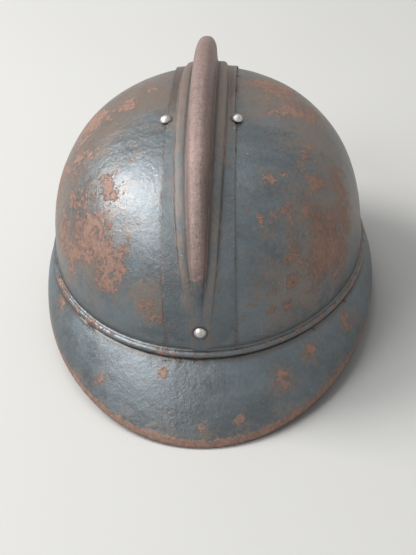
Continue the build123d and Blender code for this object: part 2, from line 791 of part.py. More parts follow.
def build_all():
    """Every piece by its node name, before the shift to the shared origin."""
    parts = {
        "bowl": make_bowl(),
        "front_visor": make_brim(-1, visor_reach),
        "neck_guard": make_neck_guard(),
        "crest": make_crest(),
        "front_badge": make_badge(),
        "felt_band": make_felt_band(),
        "leather_cap": make_leather_cap(),
        "lug_left": make_lug(1),
        "lug_right": make_lug(-1),
        "bail_left": make_bail(1),
        "bail_right": make_bail(-1),
        "chin_strap": make_strap(),
        "strap_buckle": make_buckle(),
    }
    for name, place in rivet_places.items():
        parts[name] = crest_rivet(place)
    for name, turns in (("left", 0), ("rear", 1), ("right", 2), ("front", 3)):
        parts[f"spacer_{name}"] = make_spacer(turns * math.pi / 2)
    for name, direction in clip_places().items():
        parts[name] = make_clip(direction)
    return parts


def main():
    """Shifts each piece so that the whole helmet stands centred on the origin, and writes it."""
    os.makedirs("parts", exist_ok=True)
    for name, shape in build_all().items():
        export_step(Pos(0, bowl_centre_y, 0) * shape, f"parts/{name}.step")


main()
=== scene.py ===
"""An old crested steel helmet on a pale floor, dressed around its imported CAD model."""

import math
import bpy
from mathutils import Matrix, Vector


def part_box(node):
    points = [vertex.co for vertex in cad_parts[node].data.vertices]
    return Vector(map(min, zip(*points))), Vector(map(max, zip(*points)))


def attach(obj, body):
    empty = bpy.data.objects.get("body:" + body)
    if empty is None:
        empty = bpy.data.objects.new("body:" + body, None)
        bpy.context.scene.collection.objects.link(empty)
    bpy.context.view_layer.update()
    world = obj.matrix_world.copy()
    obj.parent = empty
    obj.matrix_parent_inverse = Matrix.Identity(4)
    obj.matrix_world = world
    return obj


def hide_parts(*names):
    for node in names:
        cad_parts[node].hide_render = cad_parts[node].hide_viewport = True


bl_info = {
    "name": "Adrian Helmet",
    "version": (1, 0, 0),
    "blender": (4, 5, 0),
    "location": "3D View > Sidebar > Helmet",
    "description": "Builds a worn crested steel helmet, its liner and its chin strap",
    "category": "Add Mesh",
}

from types import SimpleNamespace

import bmesh
import bpy
import numpy as np
from bpy.props import FloatProperty, FloatVectorProperty, PointerProperty
from mathutils import Matrix, Vector

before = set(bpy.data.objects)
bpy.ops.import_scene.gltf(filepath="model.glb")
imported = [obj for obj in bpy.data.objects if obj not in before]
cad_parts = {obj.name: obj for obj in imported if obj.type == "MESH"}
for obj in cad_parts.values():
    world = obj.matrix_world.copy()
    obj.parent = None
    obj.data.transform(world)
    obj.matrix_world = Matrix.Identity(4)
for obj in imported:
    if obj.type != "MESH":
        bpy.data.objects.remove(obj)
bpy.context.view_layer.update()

MM = 0.001
BOWL_CENTRE = np.array([0.0, -1.5 * MM, 0.0])
WELD = 0.002 * MM
SHEET = 0.9 * MM

# Bowl: its seam, profile powers, bead and flare, and the soft waves of its steel. Dents and waves keep off the
# crest's strip and the seam, and come in over the fade beside them.
SEAM_HEIGHT = 39 * MM
WALL_POWER = 2.4
CROWN_POWER = 2.8
BEAD_NECK = 1.2 * MM
FLARE_HEIGHT = 5.4 * MM
CLEAR_OF_CREST = 27 * MM
CREST_FADE = 8 * MM
CLEAR_OF_SEAM = 8 * MM
SEAM_FADE = 14 * MM
WAVE_DEPTH = 0.16 * MM
WAVE_LENGTH = 46 * MM

# Brims: upstand inside the bead, slope, rolled rim, and the guard's tongues
UPSTAND_HEIGHT = 7 * MM
UPSTAND_KNEE = 3 * MM
UPSTAND_BEND = 0.3 * MM
UNDER_BEND = 0.5 * MM
FOLD_GAP = 0.15 * MM
BEAD_SINK = 0.1 * MM
SLOPE_TUCK = 0.8 * MM
BRIM_BULGE_SHARE = 0.06
RIM_SIDE_RISE = 13.7 * MM
REST_FLAT = 0.35 * MM
ROLL_END = 0.3
BRIM_WAVE_DEPTH = 0.18 * MM
BRIM_WAVE_LENGTH = 55 * MM
TONGUE_ROOT = 9 * MM
TONGUE_TIP = 12 * MM
TONGUE_DROP = 1 * MM
TONGUE_ROOT_DROP = 0.45 * MM
TONGUE_INSET = 3 * MM

# Crest: its sheet, its distances from the seams, bed, comb and vent
CREST_SEAT_GAP = 0.35 * MM
CREST_SHEET = 0.8 * MM
CREST_REAR_GAP = 5.8 * MM
CREST_FRONT_GAP = 49 * MM
FLANGE_ROUND = 19 * MM
BED_RISE = 2.4 * MM
BED_CROWN = 0.5 * MM
COMB_FOOT = 0.6 * MM
COMB_LOW_SHARE = 0.28
COMB_POWER = 2.55
VENT_LIFT = 2.2 * MM
RIVETS = ("crest_rivet_rear", "crest_rivet_front", "crest_rivet_left", "crest_rivet_right")

# Liner: felt band, then the leather cap with its bend, slots and tongues
BAND_GAP = 12.5 * MM
BAND_RISE = 3 * MM
BAND_HEIGHT = 30 * MM
FELT_THICKNESS = 2 * MM
FELT_EDGE = 0.45 * MM
FELT_WAVE = 0.22 * MM
FELT_EDGE_WAVE = 0.35 * MM
LINER_GAP = 0.15 * MM
LEATHER_INSET = BAND_GAP + FELT_THICKNESS + LINER_GAP
LEATHER_THICKNESS = 1.4 * MM
LEATHER_BAND_HEIGHT = 36 * MM
LEATHER_FOLD = 0.25 * MM
CAP_BEND = 32 * MM
CAP_SLOPE = math.radians(12)
CAP_OPENING = 21 * MM
TONGUES = 7
SLOT_TIP = 74.35 * MM
SLOT_START = 10.5 * MM
SLOT_HALF_WIDTH = 7 * MM
TONGUE_CURL = 1.1 * MM
TONGUE_WAVE = 0.7 * MM
TONGUE_SAG = 1.2 * MM
THREAD_PROUD = 0.05 * MM

# Strap: its eye round the bail, the way it leaves it, its flat middle, its sewn tail and its stitches
BAIL_WIRE_RADIUS = 1.2 * MM
EYE_RADIUS = 2.5 * MM
STRAP_LEAVES = (-.33, -.944)
STRAP_FLAT_HALF = 42 * MM
SEWN_START = 5 * MM
SEWN_END = 27 * MM
TAIL_LIFT = 1.02
STITCH_ROW_SHARE = 0.36
STITCH_SHARE = 0.38
STITCH_SIDE = 0.35 * MM
STITCH_HEIGHT = 0.32 * MM

# How many points the shapes have along them and across their sections
BOWL_AROUND = 400
BRIM_ALONG = 300
CREST_ALONG = 330
BAND_AROUND = 360
DOME_POINTS = 74
SLOPE_POINTS = 34
COMB_POINTS = 18
WALL_POINTS = 6
BED_POINTS = 11
STEP_POINTS = 5
FLANGE_POINTS = 15

# Rust, patina, and dirt with painted shade, where the shape, not a patch, says how much there is
SPOT_SPREAD = 1.3
GROOVE_WIDTH = 2.6 * MM
EDGE_WIDTH = 1.7 * MM
EDGE_MARGIN = 2 * MM
RIVET_RING = 4 * MM
RIVET_RING_WIDTH = 1 * MM
# The dirt values in grooves, under the bead, at the flange's edge, at the comb's foot, at the step and round
# the rivets are painted shade as well as dirt
BOWL_FIELD = SimpleNamespace(bead_rust=.40, edge_rust=.30, groove_dirt=.75, under_dirt=.8, edge_dirt=.62,
                             inside=(.34, .6, .1))
BRIM_FIELD = SimpleNamespace(roll_rust=.95, bead_rust=.28, groove_dirt=.9, roll_dirt=.25, roll_patina=.35,
                             inside=(.30, .45, .1))
CREST_FIELD = SimpleNamespace(comb_rust=.92, rust_wave=.10, foot_dirt=.95, step_dirt=.55, rivet_dirt=.85,
                              patina=.10, front_patina=.45, bed_patina=.25, patina_wave=.1, inside=(.7, .5, .2))

# Rust across the crest: number of points from its middle, then strength
CREST_RUST_LINE = np.array((
    (20, .16), (23, .48), (26, .24), (31, .20), (33, .46), (36, .42), (39, .14), (48, .16), (51, .54),
))

# Stations along the crest: place, flange, bed width, bed rise, comb width, comb height and vent lift, as shares
CREST_STATIONS = np.array((
    (0.0, 0.80, 0.34, 0.02, 0.10, 0.00, 0.0),
    (0.055, 0.80, 0.40, 0.03, 0.13, 0.00, 0.0),
    (0.10, 0.80, 0.52, 0.20, 0.26, 0.03, 0.0),
    (0.18, 0.80, 0.72, 0.55, 0.62, 0.33, 0.0),
    (0.28, 0.87, 0.88, 0.85, 0.82, 0.64, 0.0),
    (0.39, 0.96, 0.97, 1.00, 0.97, 0.86, 0.0),
    (0.51, 1.00, 1.00, 1.00, 1.00, 0.98, 0.0),
    (0.57, 1.00, 1.00, 1.00, 1.00, 1.00, 0.6),
    (0.64, 0.97, 1.00, 1.00, 1.00, 1.00, 1.0),
    (0.73, 0.90, 0.94, 1.00, 0.98, 0.98, 0.9),
    (0.80, 0.84, 0.87, 0.92, 0.93, 0.92, 0.3),
    (0.86, 0.80, 0.78, 0.72, 0.80, 0.72, 0.0),
    (0.90, 0.78, 0.62, 0.42, 0.56, 0.40, 0.0),
    (0.93, 0.77, 0.48, 0.14, 0.30, 0.10, 0.0),
    (0.95, 0.76, 0.41, 0.04, 0.16, 0.01, 0.0),
    (0.965, 0.76, 0.38, 0.02, 0.12, 0.00, 0.0),
    (1.0, 0.76, 0.34, 0.02, 0.10, 0.00, 0.0),
))

# Rust patches on the bowl: place and radius in millimetres, then strength
BOWL_RUST = np.array((
    (53, 56, 115, 9, .55), (68, 64, 93, 15, .62), (56, 77, 94, 11, .60), (46, 89, 88, 9, .62),
    (56, 87, 73, 8, .58), (42, 87, 96, 6, .50), (72, 48, 101, 11, .55), (83, 45, 80, 12, .52),
    (63, 63, 101, 10, .50), (78, 60, 73, 11, .45), (33, -28, 132, 7, .35), (49, -14, 129, 10, .42),
    (66, -15, 120, 14, .50), (73, 19, 112, 12, .45), (88, 10, 92, 14, .48), (-41, -35, 129, 16, .50),
    (-58, -18, 124, 16, .50), (-48, 2, 130, 8, .42), (-40, 57, 122, 4, .48), (-47, 51, 121, 4, .42),
    (-41, 76, 109, 5, .62), (-34, 79, 111, 4, .52), (-49, 69, 110, 5, .58), (-27, 78, 115, 3, .55),
    (-61, 31, 120, 7, .50), (-66, 42, 111, 8, .50), (-60, 59, 107, 6, .50), (-66, 61, 99, 9, .58),
    (-73, 59, 88, 12, .62), (-69, 71, 78, 12, .60), (-52, 76, 101, 4, .48), (-54, 80, 92, 5, .50),
    (-52, 90, 76, 5, .52), (-49, 87, 88, 4, .46), (-69, 74, 69, 9, .52), (-80, 57, 72, 13, .55),
    (-83, 41, 86, 11, .52), (-80, 29, 99, 10, .46), (-39, 101, 63, 4, .42), (-30, 104, 70, 3, .40),
    (-26, 106, 63, 4, .46), (-49, 95, 62, 4, .42), (-41, 97, 75, 5, .42), (-33, 100, 82, 3, .40),
    (29, 104, 72, 6, .45), (24, 107, 62, 4, .40), (40, 43, 127, 3, .40), (-23, 68, 122, 3, .40),
    (-86, -40, 70, 14, .50), (-60, -80, 90, 16, .52), (-30, -100, 80, 10, .45), (45, -90, 85, 15, .50),
    (80, -50, 85, 16, .50), (20, -108, 60, 8, .42), (-88, -15, 60, 12, .45), (90, -20, 60, 12, .48),
))
# Brown patina on the bowl, its dents with their depth in millimetres, and rust on the brims
BOWL_PATINA = np.array((
    (45, -25, 128, 30, 1.0), (72, -5, 112, 30, .95), (85, 20, 90, 24, .85), (65, 70, 90, 26, .80),
    (80, 50, 72, 22, .70), (-50, -22, 126, 30, 1.0), (-66, 10, 118, 24, .70), (-72, 60, 85, 28, .95),
    (-82, 30, 90, 26, .85), (-62, 82, 72, 22, .75), (-45, 92, 68, 18, .60), (30, 103, 74, 11, .85),
    (-60, -70, 95, 40, .9), (60, -80, 85, 36, .9), (0, -105, 70, 30, .6), (-90, 5, 60, 22, .6),
))
BOWL_DENTS = np.array((
    (50, -31, 126, 9, 1.0), (61, -16, 122, 8, .7), (40, 88, 100, 12, .45), (-62, 55, 108, 10, .5),
    (-45, 95, 75, 9, .4), (75, 55, 80, 14, .5), (-85, 20, 85, 13, .5), (52, -85, 85, 12, .6),
    (-70, -55, 95, 14, .6), (85, -20, 90, 12, .5), (30, 30, 134, 10, .2), (-38, 20, 133, 9, .25),
))
BRIM_RUST = np.array((
    (22, 119, 34, 3, .55), (-21, 137, 14, 3, .60), (-46, 118, 25, 7, .48), (-61, 99, 32, 6, .45),
    (88, 56, 35, 6, .45), (-86, 69, 29, 8, .42), (60, 110, 20, 4, .40), (0, 139, 12, 5, .38),
    (-30, -130, 20, 9, .50), (50, -115, 25, 10, .52), (-75, -80, 30, 8, .45), (88, -50, 30, 8, .45),
))

# Noises: cells to the metre, detail, roughness and warp
NOISES = {
    "paint_cloud": (16, 5, .62), "paint_blotch": (75, 7, .68, .4), "paint_grain": (420, 5, .65),
    "paint_dust": (1500, 3, .6), "paint_strokes": (90, 4, .6), "paint_peel": (85, 5, .6),
    "scratch_line": (34, 2, .5), "scratch_area": (55, 3, .6), "chip": (900, 2, .5),
    "comb_cloud": (28, 5, .62), "comb_blotch": (110, 7, .7, .5), "comb_grain": (520, 5, .65),
    "comb_dust": (1900, 3, .6),
    "metal_grain": (900, 4, .6), "metal_blotch": (260, 5, .65), "metal_rubbed": (700, 3, .6),
    "leather_cloud": (38, 5, .62), "leather_crease": (120, 5, .65), "leather_fine": (700, 4, .6),
    "felt_fibres": (900, 4, .7), "felt_cloud": (60, 4, .6), "thread_twist": (2400, 3, .6),
    "floor_cloud": (2.2, 3, .5), "floor_tooth": (500, 3, .6),
}
PEBBLES_PER_METRE = 1100

# Shades in linear red, green and blue that have no setting
SHADES = {
    "halo": (.085, .058, .046), "scratch": (.33, .35, .36), "chip": (.30, .30, .29),
    # Of these, the two near-black shades are painted shade in grooves, crevices, under the bead and round the
    # rivets, laid with dirt
    "rust_speck": (.40, .31, .27), "shade_and_grime": (.022, .018, .015), "comb_halo": (.10, .068, .052),
    "comb_spot": (.085, .060, .060), "comb_speck": (.46, .42, .40), "comb_shade_and_grime": (.022, .018, .016),
    "rivet_stain": (.16, .12, .09),
    "aluminium_stain": (.20, .19, .17), "wire_stain": (.13, .07, .045), "warm": (1.0, .985, .965),
    "cool": (.97, .985, 1.0), "backdrop": (.70, .695, .67),
}

# The floor, the lamps and the camera, in metres and millimetres of lens
FLOOR_HALF = 4.0
LAMP_DISTANCE = 1.9
LAMP_AIM_HEIGHT = 0.08
KEY_DIRECTION = (.70, -.10, .70)
SIDE_DIRECTION = (.62, .50, .60)
TOP_DIRECTION = (.22, -.16, .96)
SIDE_SIZE = 0.9
TOP_SIZE = 1.0
LENS = 84.25
SENSOR = 36
CLIP_START = 0.01
CLIP_END = 20
CAMERA_PLACE = (-.0439, .66746, .51955)
CAMERA_RIGHT = (-.9985, -.0385, -.0390)
CAMERA_UP = (-.0076, -.6073, .7944)
CAMERA_FORWARD = (.0543, -.7935, -.6061)


# ---- settings


def length(name, description, millimetres):
    """A length setting, kept in metres."""
    return FloatProperty(name=name, description=description, default=millimetres * MM, min=0, unit="LENGTH",
                         precision=4)


def colour(name, description, value):
    """A colour setting in linear red, green and blue."""
    return FloatVectorProperty(name=name, description=description, default=value, min=0, max=1, size=3,
                               subtype="COLOR")


def power(name, description, watts):
    """A lamp's power setting, in watts."""
    return FloatProperty(name=name, description=description, default=watts, min=0, unit="POWER")


class HelmetSizes(bpy.types.PropertyGroup):
    """Sizes of the helmet's pressings, which follow the CAD model."""

    bowl_half_width: length("Bowl half width", "Half of the bowl from side to side at its seam", 95.5)
    bowl_half_length: length("Bowl half length", "Half of the bowl from front to rear at its seam", 113)
    bowl_height: length("Bowl height", "Height of the crown over the seam", 98)
    bead_radius: length("Bead radius", "Radius of the round bead at the bowl's seam", 2.1)
    brim_side_reach: length("Side reach", "How far the brims stand out at the sides", 8)
    guard_reach: length("Guard reach", "How far the neck guard stands out at the rear", 35)
    visor_reach: length("Visor reach", "How far the visor stands out at the front", 32)
    rim_roll_radius: length("Rim roll", "Radius of the rolled rim", 1.8)
    flange_half_width: length("Flange half width", "Half width of the crest's flange", 25)
    bed_half_width: length("Bed half width", "Half width of the crest's raised bed", 15)
    comb_half_width: length("Comb half width", "Half width of the comb", 6.8)
    comb_height: length("Comb height", "Height of the comb over its bed", 17.6)
    strap_width: length("Strap width", "Width of the chin strap", 15)
    strap_thickness: length("Strap thickness", "Thickness of the chin strap", 1.8)
    stitch_pitch: length("Stitch pitch", "Distance between stitches on the leather", 3)


class HelmetColours(bpy.types.PropertyGroup):
    """Colours of the helmet's finishes."""

    paint_light: colour("Paint, worn", "Blue-grey paint where it is rubbed", (.074, .110, .134))
    paint_dark: colour("Paint, deep", "Blue-grey paint where it is whole", (.014, .024, .032))
    rust_light: colour("Rust, light", "Dry pinkish rust", (.310, .160, .108))
    rust_dark: colour("Rust, dark", "Deep brown rust", (.090, .042, .028))
    patina: colour("Patina", "Thin brown haze over the paint", (.172, .112, .078))
    comb_light: colour("Comb, light", "Rubbed rusty steel of the comb", (.350, .222, .192))
    comb_dark: colour("Comb, dark", "Dark rusty steel of the comb", (.088, .050, .040))
    steel: colour("Steel", "Bright steel of the rivets", (.66, .65, .62))
    wire: colour("Wire", "Dull steel of bails and buckle", (.34, .31, .28))
    aluminium: colour("Aluminium", "Dull strip of the spacers", (.52, .52, .50))
    felt: colour("Felt", "Dark wool of the liner band", (.050, .045, .042))
    liner: colour("Liner leather", "Dark brown liner leather", (.085, .040, .022))
    strap: colour("Strap leather", "Brown strap leather", (.155, .070, .032))
    thread: colour("Thread", "Waxed linen thread", (.36, .29, .19))
    floor: colour("Floor", "Pale warm grey floor", (.57, .565, .545))


class HelmetLights(bpy.types.PropertyGroup):
    """Lights around the helmet."""

    key_power: power("Key light", "Power of the large soft light at the helmet's left", 33)
    key_size: length("Key size", "Side of the large soft light", 780)
    side_power: power("Side light", "Power of the soft light behind the helmet's left", 13)
    top_power: power("Top light", "Power of the soft light overhead", 9)
    fill_strength: FloatProperty(name="Fill", description="Strength of the pale surroundings", default=.36,
                                 min=0)


# ---- meshes


def grid_quads(index):
    """The quads between neighbouring rows and columns of a grid of corner numbers."""
    return np.stack([index[:-1, :-1], index[1:, :-1], index[1:, 1:], index[:-1, 1:]], -1).reshape(-1, 4)


def wall_quads(rows, columns, wrap, open_sides):
    """Corner numbers of the quads of two skins, and of the walls that join their edges, all facing one way."""
    count = rows * columns
    index = np.arange(count).reshape(rows, columns)
    if wrap:
        index = np.vstack([index, index[:1]])
    top = grid_quads(index)

    def wall(line, keep=None):
        quads = np.stack([line[1:], line[:-1], line[:-1] + count, line[1:] + count], -1)
        return quads if keep is None else quads[keep]

    parts = [top, top[:, ::-1] + count, wall(index[:, 0]), wall(index[::-1, -1])]
    if not wrap:
        keep = np.ones(columns - 1, bool) if open_sides is None else open_sides
        parts += [wall(index[0, ::-1], keep[::-1]), wall(index[-1], keep)]
    return np.concatenate(parts)


def enclosed_volume(points, quads):
    """Six times the volume inside the quads, summed from corner triple products; negative if inside out."""
    a, b, c, d = (points[quads[:, k]] for k in range(4))
    return float((a * np.cross(b, c)).sum() + (a * np.cross(c, d)).sum())


def two_skins(outer, inner, wrap=False, open_sides=None, **fields):
    """A closed wall between two grids of points of the same shape, as points, quads and fields for each point.

    A field is one value for both skins, or a pair for the outer and the inner one.
    """
    rows, columns = outer.shape[:2]
    points = np.concatenate([outer.reshape(-1, 3), inner.reshape(-1, 3)])
    quads = wall_quads(rows, columns, wrap, open_sides)
    if enclosed_volume(points, quads) < 0:
        quads = quads[:, ::-1]
    doubled = {}
    for key, value in fields.items():
        pair = value if isinstance(value, tuple) else (value, value)
        doubled[key] = np.concatenate([np.broadcast_to(v, (rows, columns)).ravel() for v in pair])
    return points, quads, doubled


def join_shapes(shapes):
    """Several shapes as one, with the corner numbers of each moved past those before it."""
    points, quads, start = [], [], 0
    for shape in shapes:
        points.append(shape[0])
        quads.append(shape[1] + start)
        start += len(shape[0])
    keys = shapes[0][2]
    fields = {key: np.concatenate([shape[2][key] for shape in shapes]) for key in keys}
    return np.concatenate(points), np.concatenate(quads), fields


def make_piece(name, shape, material, body, replaced=(), sharp=50):
    """Puts a shape into a mesh object at the origin, closes its poles and seams, and lets it ride on a body."""
    points, quads, fields = shape
    mesh = bpy.data.meshes.new(name)
    mesh.vertices.add(len(points))
    mesh.vertices.foreach_set("co", np.ascontiguousarray(points + BOWL_CENTRE, dtype=np.float32).ravel())
    mesh.loops.add(quads.size)
    mesh.loops.foreach_set("vertex_index", np.ascontiguousarray(quads, dtype=np.int32).ravel())
    mesh.polygons.add(len(quads))
    mesh.polygons.foreach_set("loop_start", np.arange(0, quads.size, 4, dtype=np.int32))
    mesh.update(calc_edges=True)
    for key, values in fields.items():
        layer = mesh.attributes.new(key, "FLOAT", "POINT")
        layer.data.foreach_set("value", np.ascontiguousarray(values, dtype=np.float32))
    work = bmesh.new()
    work.from_mesh(mesh)
    bmesh.ops.remove_doubles(work, verts=work.verts, dist=WELD)
    work.to_mesh(mesh)
    work.free()
    mesh.polygons.foreach_set("use_smooth", np.ones(len(mesh.polygons), bool))
    mesh.set_sharp_from_angle(angle=math.radians(sharp))
    mesh.materials.append(material)
    piece = bpy.data.objects.new(name, mesh)
    bpy.context.scene.collection.objects.link(piece)
    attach(piece, body)
    if replaced:
        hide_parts(*replaced)
    return piece


def spots(points, table):
    """The greatest of several round bumps: strength times e to the minus squared distance, in radii."""
    field = np.zeros(points.shape[:-1])
    for x, y, z, radius, strength in table:
        gap = points - (np.array([x, y, z]) * MM - BOWL_CENTRE)
        field = np.maximum(field, strength * np.exp(-(gap ** 2).sum(-1) / (SPOT_SPREAD * radius * MM) ** 2))
    return field


def bell(value, middle, width):
    """One at the middle and less to each side: e to the minus squared distance, counted in widths."""
    return np.exp(-((value - middle) / width) ** 2)


def ramp(value, start, width):
    """Zero up to the start, one from a width after it, and a straight line between."""
    return np.clip((value - start) / width, 0, 1)


def ripple(points, size, seed):
    """A gentle unevenness from -1 to 1: the mean of eight seeded sine waves, each about the size long."""
    random = np.random.default_rng(seed)
    total = np.zeros(points.shape[:-1])
    for _ in range(8):
        direction = random.normal(size=3)
        direction *= 2 * math.pi / (size * random.uniform(.7, 1.5) * np.linalg.norm(direction))
        total += np.sin(points @ direction + random.uniform(0, 2 * math.pi))
    return total / 8


def smooth_columns(values, passes):
    """Rounds a line's corners: each inner point moves to the mean of itself twice and its neighbours."""
    for _ in range(passes):
        values = values.copy()
        values[:, 1:-1] = (values[:, :-2] + 2 * values[:, 1:-1] + values[:, 2:]) / 4
    return values


def unit(vectors):
    """Vectors brought to length one."""
    return vectors / np.linalg.norm(vectors, axis=-1, keepdims=True)


def distance_along(path):
    """How far each point of a line lies along it."""
    return np.concatenate([[0], np.cumsum(np.linalg.norm(np.diff(path, axis=0), axis=-1))])


def scatter(places, directions, sides, half_sizes, turns=8, rings=5):
    """One egg-shaped bead at each place: half sizes along the direction, to the side and out."""
    around = np.linspace(0, 2 * math.pi, turns, endpoint=False)
    along = np.linspace(-math.pi / 2, math.pi / 2, rings)
    swell, turned = np.cos(along)[None, :], around[:, None]
    bead = np.broadcast_arrays(np.sin(along)[None, :], swell * np.cos(turned), swell * np.sin(turned))
    bead = np.stack(bead, -1) * half_sizes
    outs = np.cross(directions, sides)
    axes = np.stack([directions, sides, outs], 1)
    points = np.einsum("uvk,nkj->nuvj", bead, axes) + places[:, None, None, :]
    index = np.arange(turns * rings).reshape(turns, rings)
    quads = grid_quads(np.vstack([index, index[:1]]))
    if enclosed_volume(points[0].reshape(-1, 3), quads) < 0:
        quads = quads[:, ::-1]
    starts = np.arange(len(places)) * turns * rings
    return points.reshape(-1, 3), (quads[None] + starts[:, None, None]).reshape(-1, 4), {}


# ---- finishes


class Finish:
    """A material whose nodes are added one at a time, on Object coordinates."""

    def __init__(self, name):
        self.material = bpy.data.materials.new(name)
        self.material.use_nodes = True
        self.tree = self.material.node_tree
        self.tree.nodes.clear()
        self.shader = self.tree.nodes.new("ShaderNodeBsdfPrincipled")
        output = self.tree.nodes.new("ShaderNodeOutputMaterial")
        self.tree.links.new(self.shader.outputs[0], output.inputs[0])
        self.place = self.tree.nodes.new("ShaderNodeTexCoord").outputs["Object"]

    def feed(self, socket, value):
        """Links a socket, or sets its value."""
        if isinstance(value, bpy.types.NodeSocket):
            self.tree.links.new(value, socket)
        elif hasattr(socket.default_value, "__len__") and len(socket.default_value) == 4 and len(value) == 3:
            socket.default_value = (*value, 1)
        else:
            socket.default_value = value

    def set(self, **values):
        """Sets or links the shader's own sockets, with underscores for spaces."""
        for key, value in values.items():
            self.feed(self.shader.inputs[key.replace("_", " ")], value)

    def field(self, name):
        """A value that the mesh carries at each point."""
        node = self.tree.nodes.new("ShaderNodeAttribute")
        node.attribute_name = name
        return node.outputs["Fac"]

    def noise(self, key, stretch=None, turn=(0, 0, 0)):
        """Cloudy noise by its name in the table, stretched and turned where asked."""
        node = self.tree.nodes.new("ShaderNodeTexNoise")
        node.inputs["Distortion"].default_value = 0
        for socket, number in zip(("Scale", "Detail", "Roughness", "Distortion"), NOISES[key]):
            node.inputs[socket].default_value = number
        place = self.place
        if stretch:
            mapping = self.tree.nodes.new("ShaderNodeMapping")
            mapping.inputs["Scale"].default_value = stretch
            mapping.inputs["Rotation"].default_value = turn
            self.tree.links.new(place, mapping.inputs["Vector"])
            place = mapping.outputs["Vector"]
        self.tree.links.new(place, node.inputs["Vector"])
        return node.outputs["Fac"]

    def step(self, operation, first, second=0.0, third=None):
        """One arithmetic step."""
        node = self.tree.nodes.new("ShaderNodeMath")
        node.operation = operation
        self.feed(node.inputs[0], first)
        self.feed(node.inputs[1], second)
        if third is not None:
            self.feed(node.inputs[2], third)
        return node.outputs[0]

    def add(self, *values):
        """The sum of several values."""
        total = values[0]
        for value in values[1:]:
            total = self.step("ADD", total, value)
        return total

    def times(self, first, second):
        """The product of two values."""
        return self.step("MULTIPLY", first, second)

    def spread(self, *pairs):
        """The sum of noises, each spread about zero by its own gain."""
        return self.add(*(self.step("MULTIPLY_ADD", value, gain, -.5 * gain) for value, gain in pairs))

    def between(self, value, low, high, start=0.0, end=1.0):
        """A smooth step from start to end as the value goes from low to high."""
        node = self.tree.nodes.new("ShaderNodeMapRange")
        node.interpolation_type = "SMOOTHSTEP"
        for key, number in (("From Min", low), ("From Max", high), ("To Min", start), ("To Max", end)):
            node.inputs[key].default_value = number
        self.feed(node.inputs["Value"], value)
        return node.outputs["Result"]

    def mix(self, share, first, second):
        """A blend of two colours."""
        node = self.tree.nodes.new("ShaderNodeMix")
        node.data_type = "RGBA"
        self.feed(node.inputs[0], share)
        self.feed(node.inputs[6], first)
        self.feed(node.inputs[7], second)
        return node.outputs[2]

    def over(self, base, share, shade, most=1.0):
        """A shade laid over a colour by a share of at most so much."""
        return self.mix(self.times(share, most), base, shade)

    def fade(self, value, low, high, first, second):
        """A blend of two colours as a value goes from low to high."""
        return self.mix(self.between(value, low, high), first, second)

    def blend(self, share, first, second):
        """A blend of two numbers."""
        node = self.tree.nodes.new("ShaderNodeMix")
        self.feed(node.inputs[0], share)
        self.feed(node.inputs[2], first)
        self.feed(node.inputs[3], second)
        return node.outputs[0]

    def bump(self, height, depth, strength=1.0, before=None):
        """A bump of so many metres."""
        node = self.tree.nodes.new("ShaderNodeBump")
        node.inputs["Strength"].default_value = strength
        node.inputs["Distance"].default_value = depth
        self.feed(node.inputs["Height"], height)
        if before is not None:
            self.tree.links.new(before, node.inputs["Normal"])
        return node.outputs["Normal"]


def scaled(shade, gain, lift=0):
    """A shade times a gain, plus a lift, and no channel over one."""
    return tuple(min(1, gain * c + lift) for c in shade)


def weathered(f, colours, field, rust_range, tone, haze, halo):
    """Blue-grey paint by its tone, under brown haze and a dark halo round the rust, and the share of rust."""
    rusty = f.between(field, *rust_range)
    paint = f.fade(tone, -.6, .6, colours.paint_dark, colours.paint_light)
    paint = f.mix(haze, paint, colours.patina)
    shade, most = halo
    return rusty, f.over(paint, f.between(field, .20, .50), SHADES[shade], most)


def shaded_and_grimed(f, shown, blotch, shade):
    """A colour with near-black painted shade and dirt over it where the dirt field and a noise add up high."""
    shade_and_grime = f.between(f.add(f.field("dirt"), f.spread((blotch, .5))), .18, .75)
    return f.over(shown, shade_and_grime, SHADES[shade], .85)


def aged_paint(name, colours, rust_bias=0.0, metal=.42, rough=.34, scratch_turn=(.3, .5, .9)):
    """Worn blue-grey paint: rust breaks through where the rust field and two noises add up high."""
    f = Finish(name)
    cloud, blotch, grain, dust = (f.noise("paint_" + kind) for kind in ("cloud", "blotch", "grain", "dust"))
    strokes = f.noise("paint_strokes", stretch=(.25, 1.6, 1.6), turn=(.2, .4, 1.1))
    patina = f.field("patina")
    field = f.add(f.field("rust"), rust_bias, f.spread((blotch, 1.55), (grain, 1.0)), f.times(patina, .20))
    tone = f.spread((cloud, 1.8), (strokes, 1.3), (grain, .7))
    haze = f.times(f.between(f.add(patina, f.spread((blotch, 1.7), (grain, 1.4))), .05, .80), .80)
    rusty, paint = weathered(f, colours, field, (.45, .53), tone, haze, ("halo", .55))
    line = f.spread((f.noise("scratch_line", stretch=(1, .3, .35), turn=scratch_turn), 1.0))
    thin = f.between(f.step("ABSOLUTE", line), .0006, .0030, 1, 0)
    paint = f.over(paint, f.times(thin, f.between(f.noise("scratch_area"), .55, .66)), SHADES["scratch"], .35)
    paint = f.over(paint, f.between(f.noise("chip"), .70, .74), SHADES["chip"], .6)
    rust = f.fade(f.spread((grain, 2.2), (blotch, 1.4)), -.6, .6, colours.rust_dark, colours.rust_light)
    rust = f.fade(dust, .62, .72, rust, SHADES["rust_speck"])
    paint_rough = f.between(f.add(tone, f.spread((dust, .8))), -1, 1, rough - .08, rough + .14)
    # Near-black painted shade and dirt go over the colour where the dirt field is high
    f.set(Base_Color=shaded_and_grimed(f, f.mix(rusty, paint, rust), blotch, "shade_and_grime"), Metallic=f.blend(rusty, metal, .50),
          Roughness=f.blend(rusty, paint_rough, f.between(grain, .3, .7, .56, .80)), IOR=2.5)
    peel = f.bump(f.noise("paint_peel"), 1.2 * MM, .7)
    pitted = f.bump(f.add(f.times(rusty, .7), f.spread((dust, .45))), .32 * MM, 1.0, peel)
    f.set(Normal=f.bump(grain, .36 * MM, .8, pitted))
    return f.material


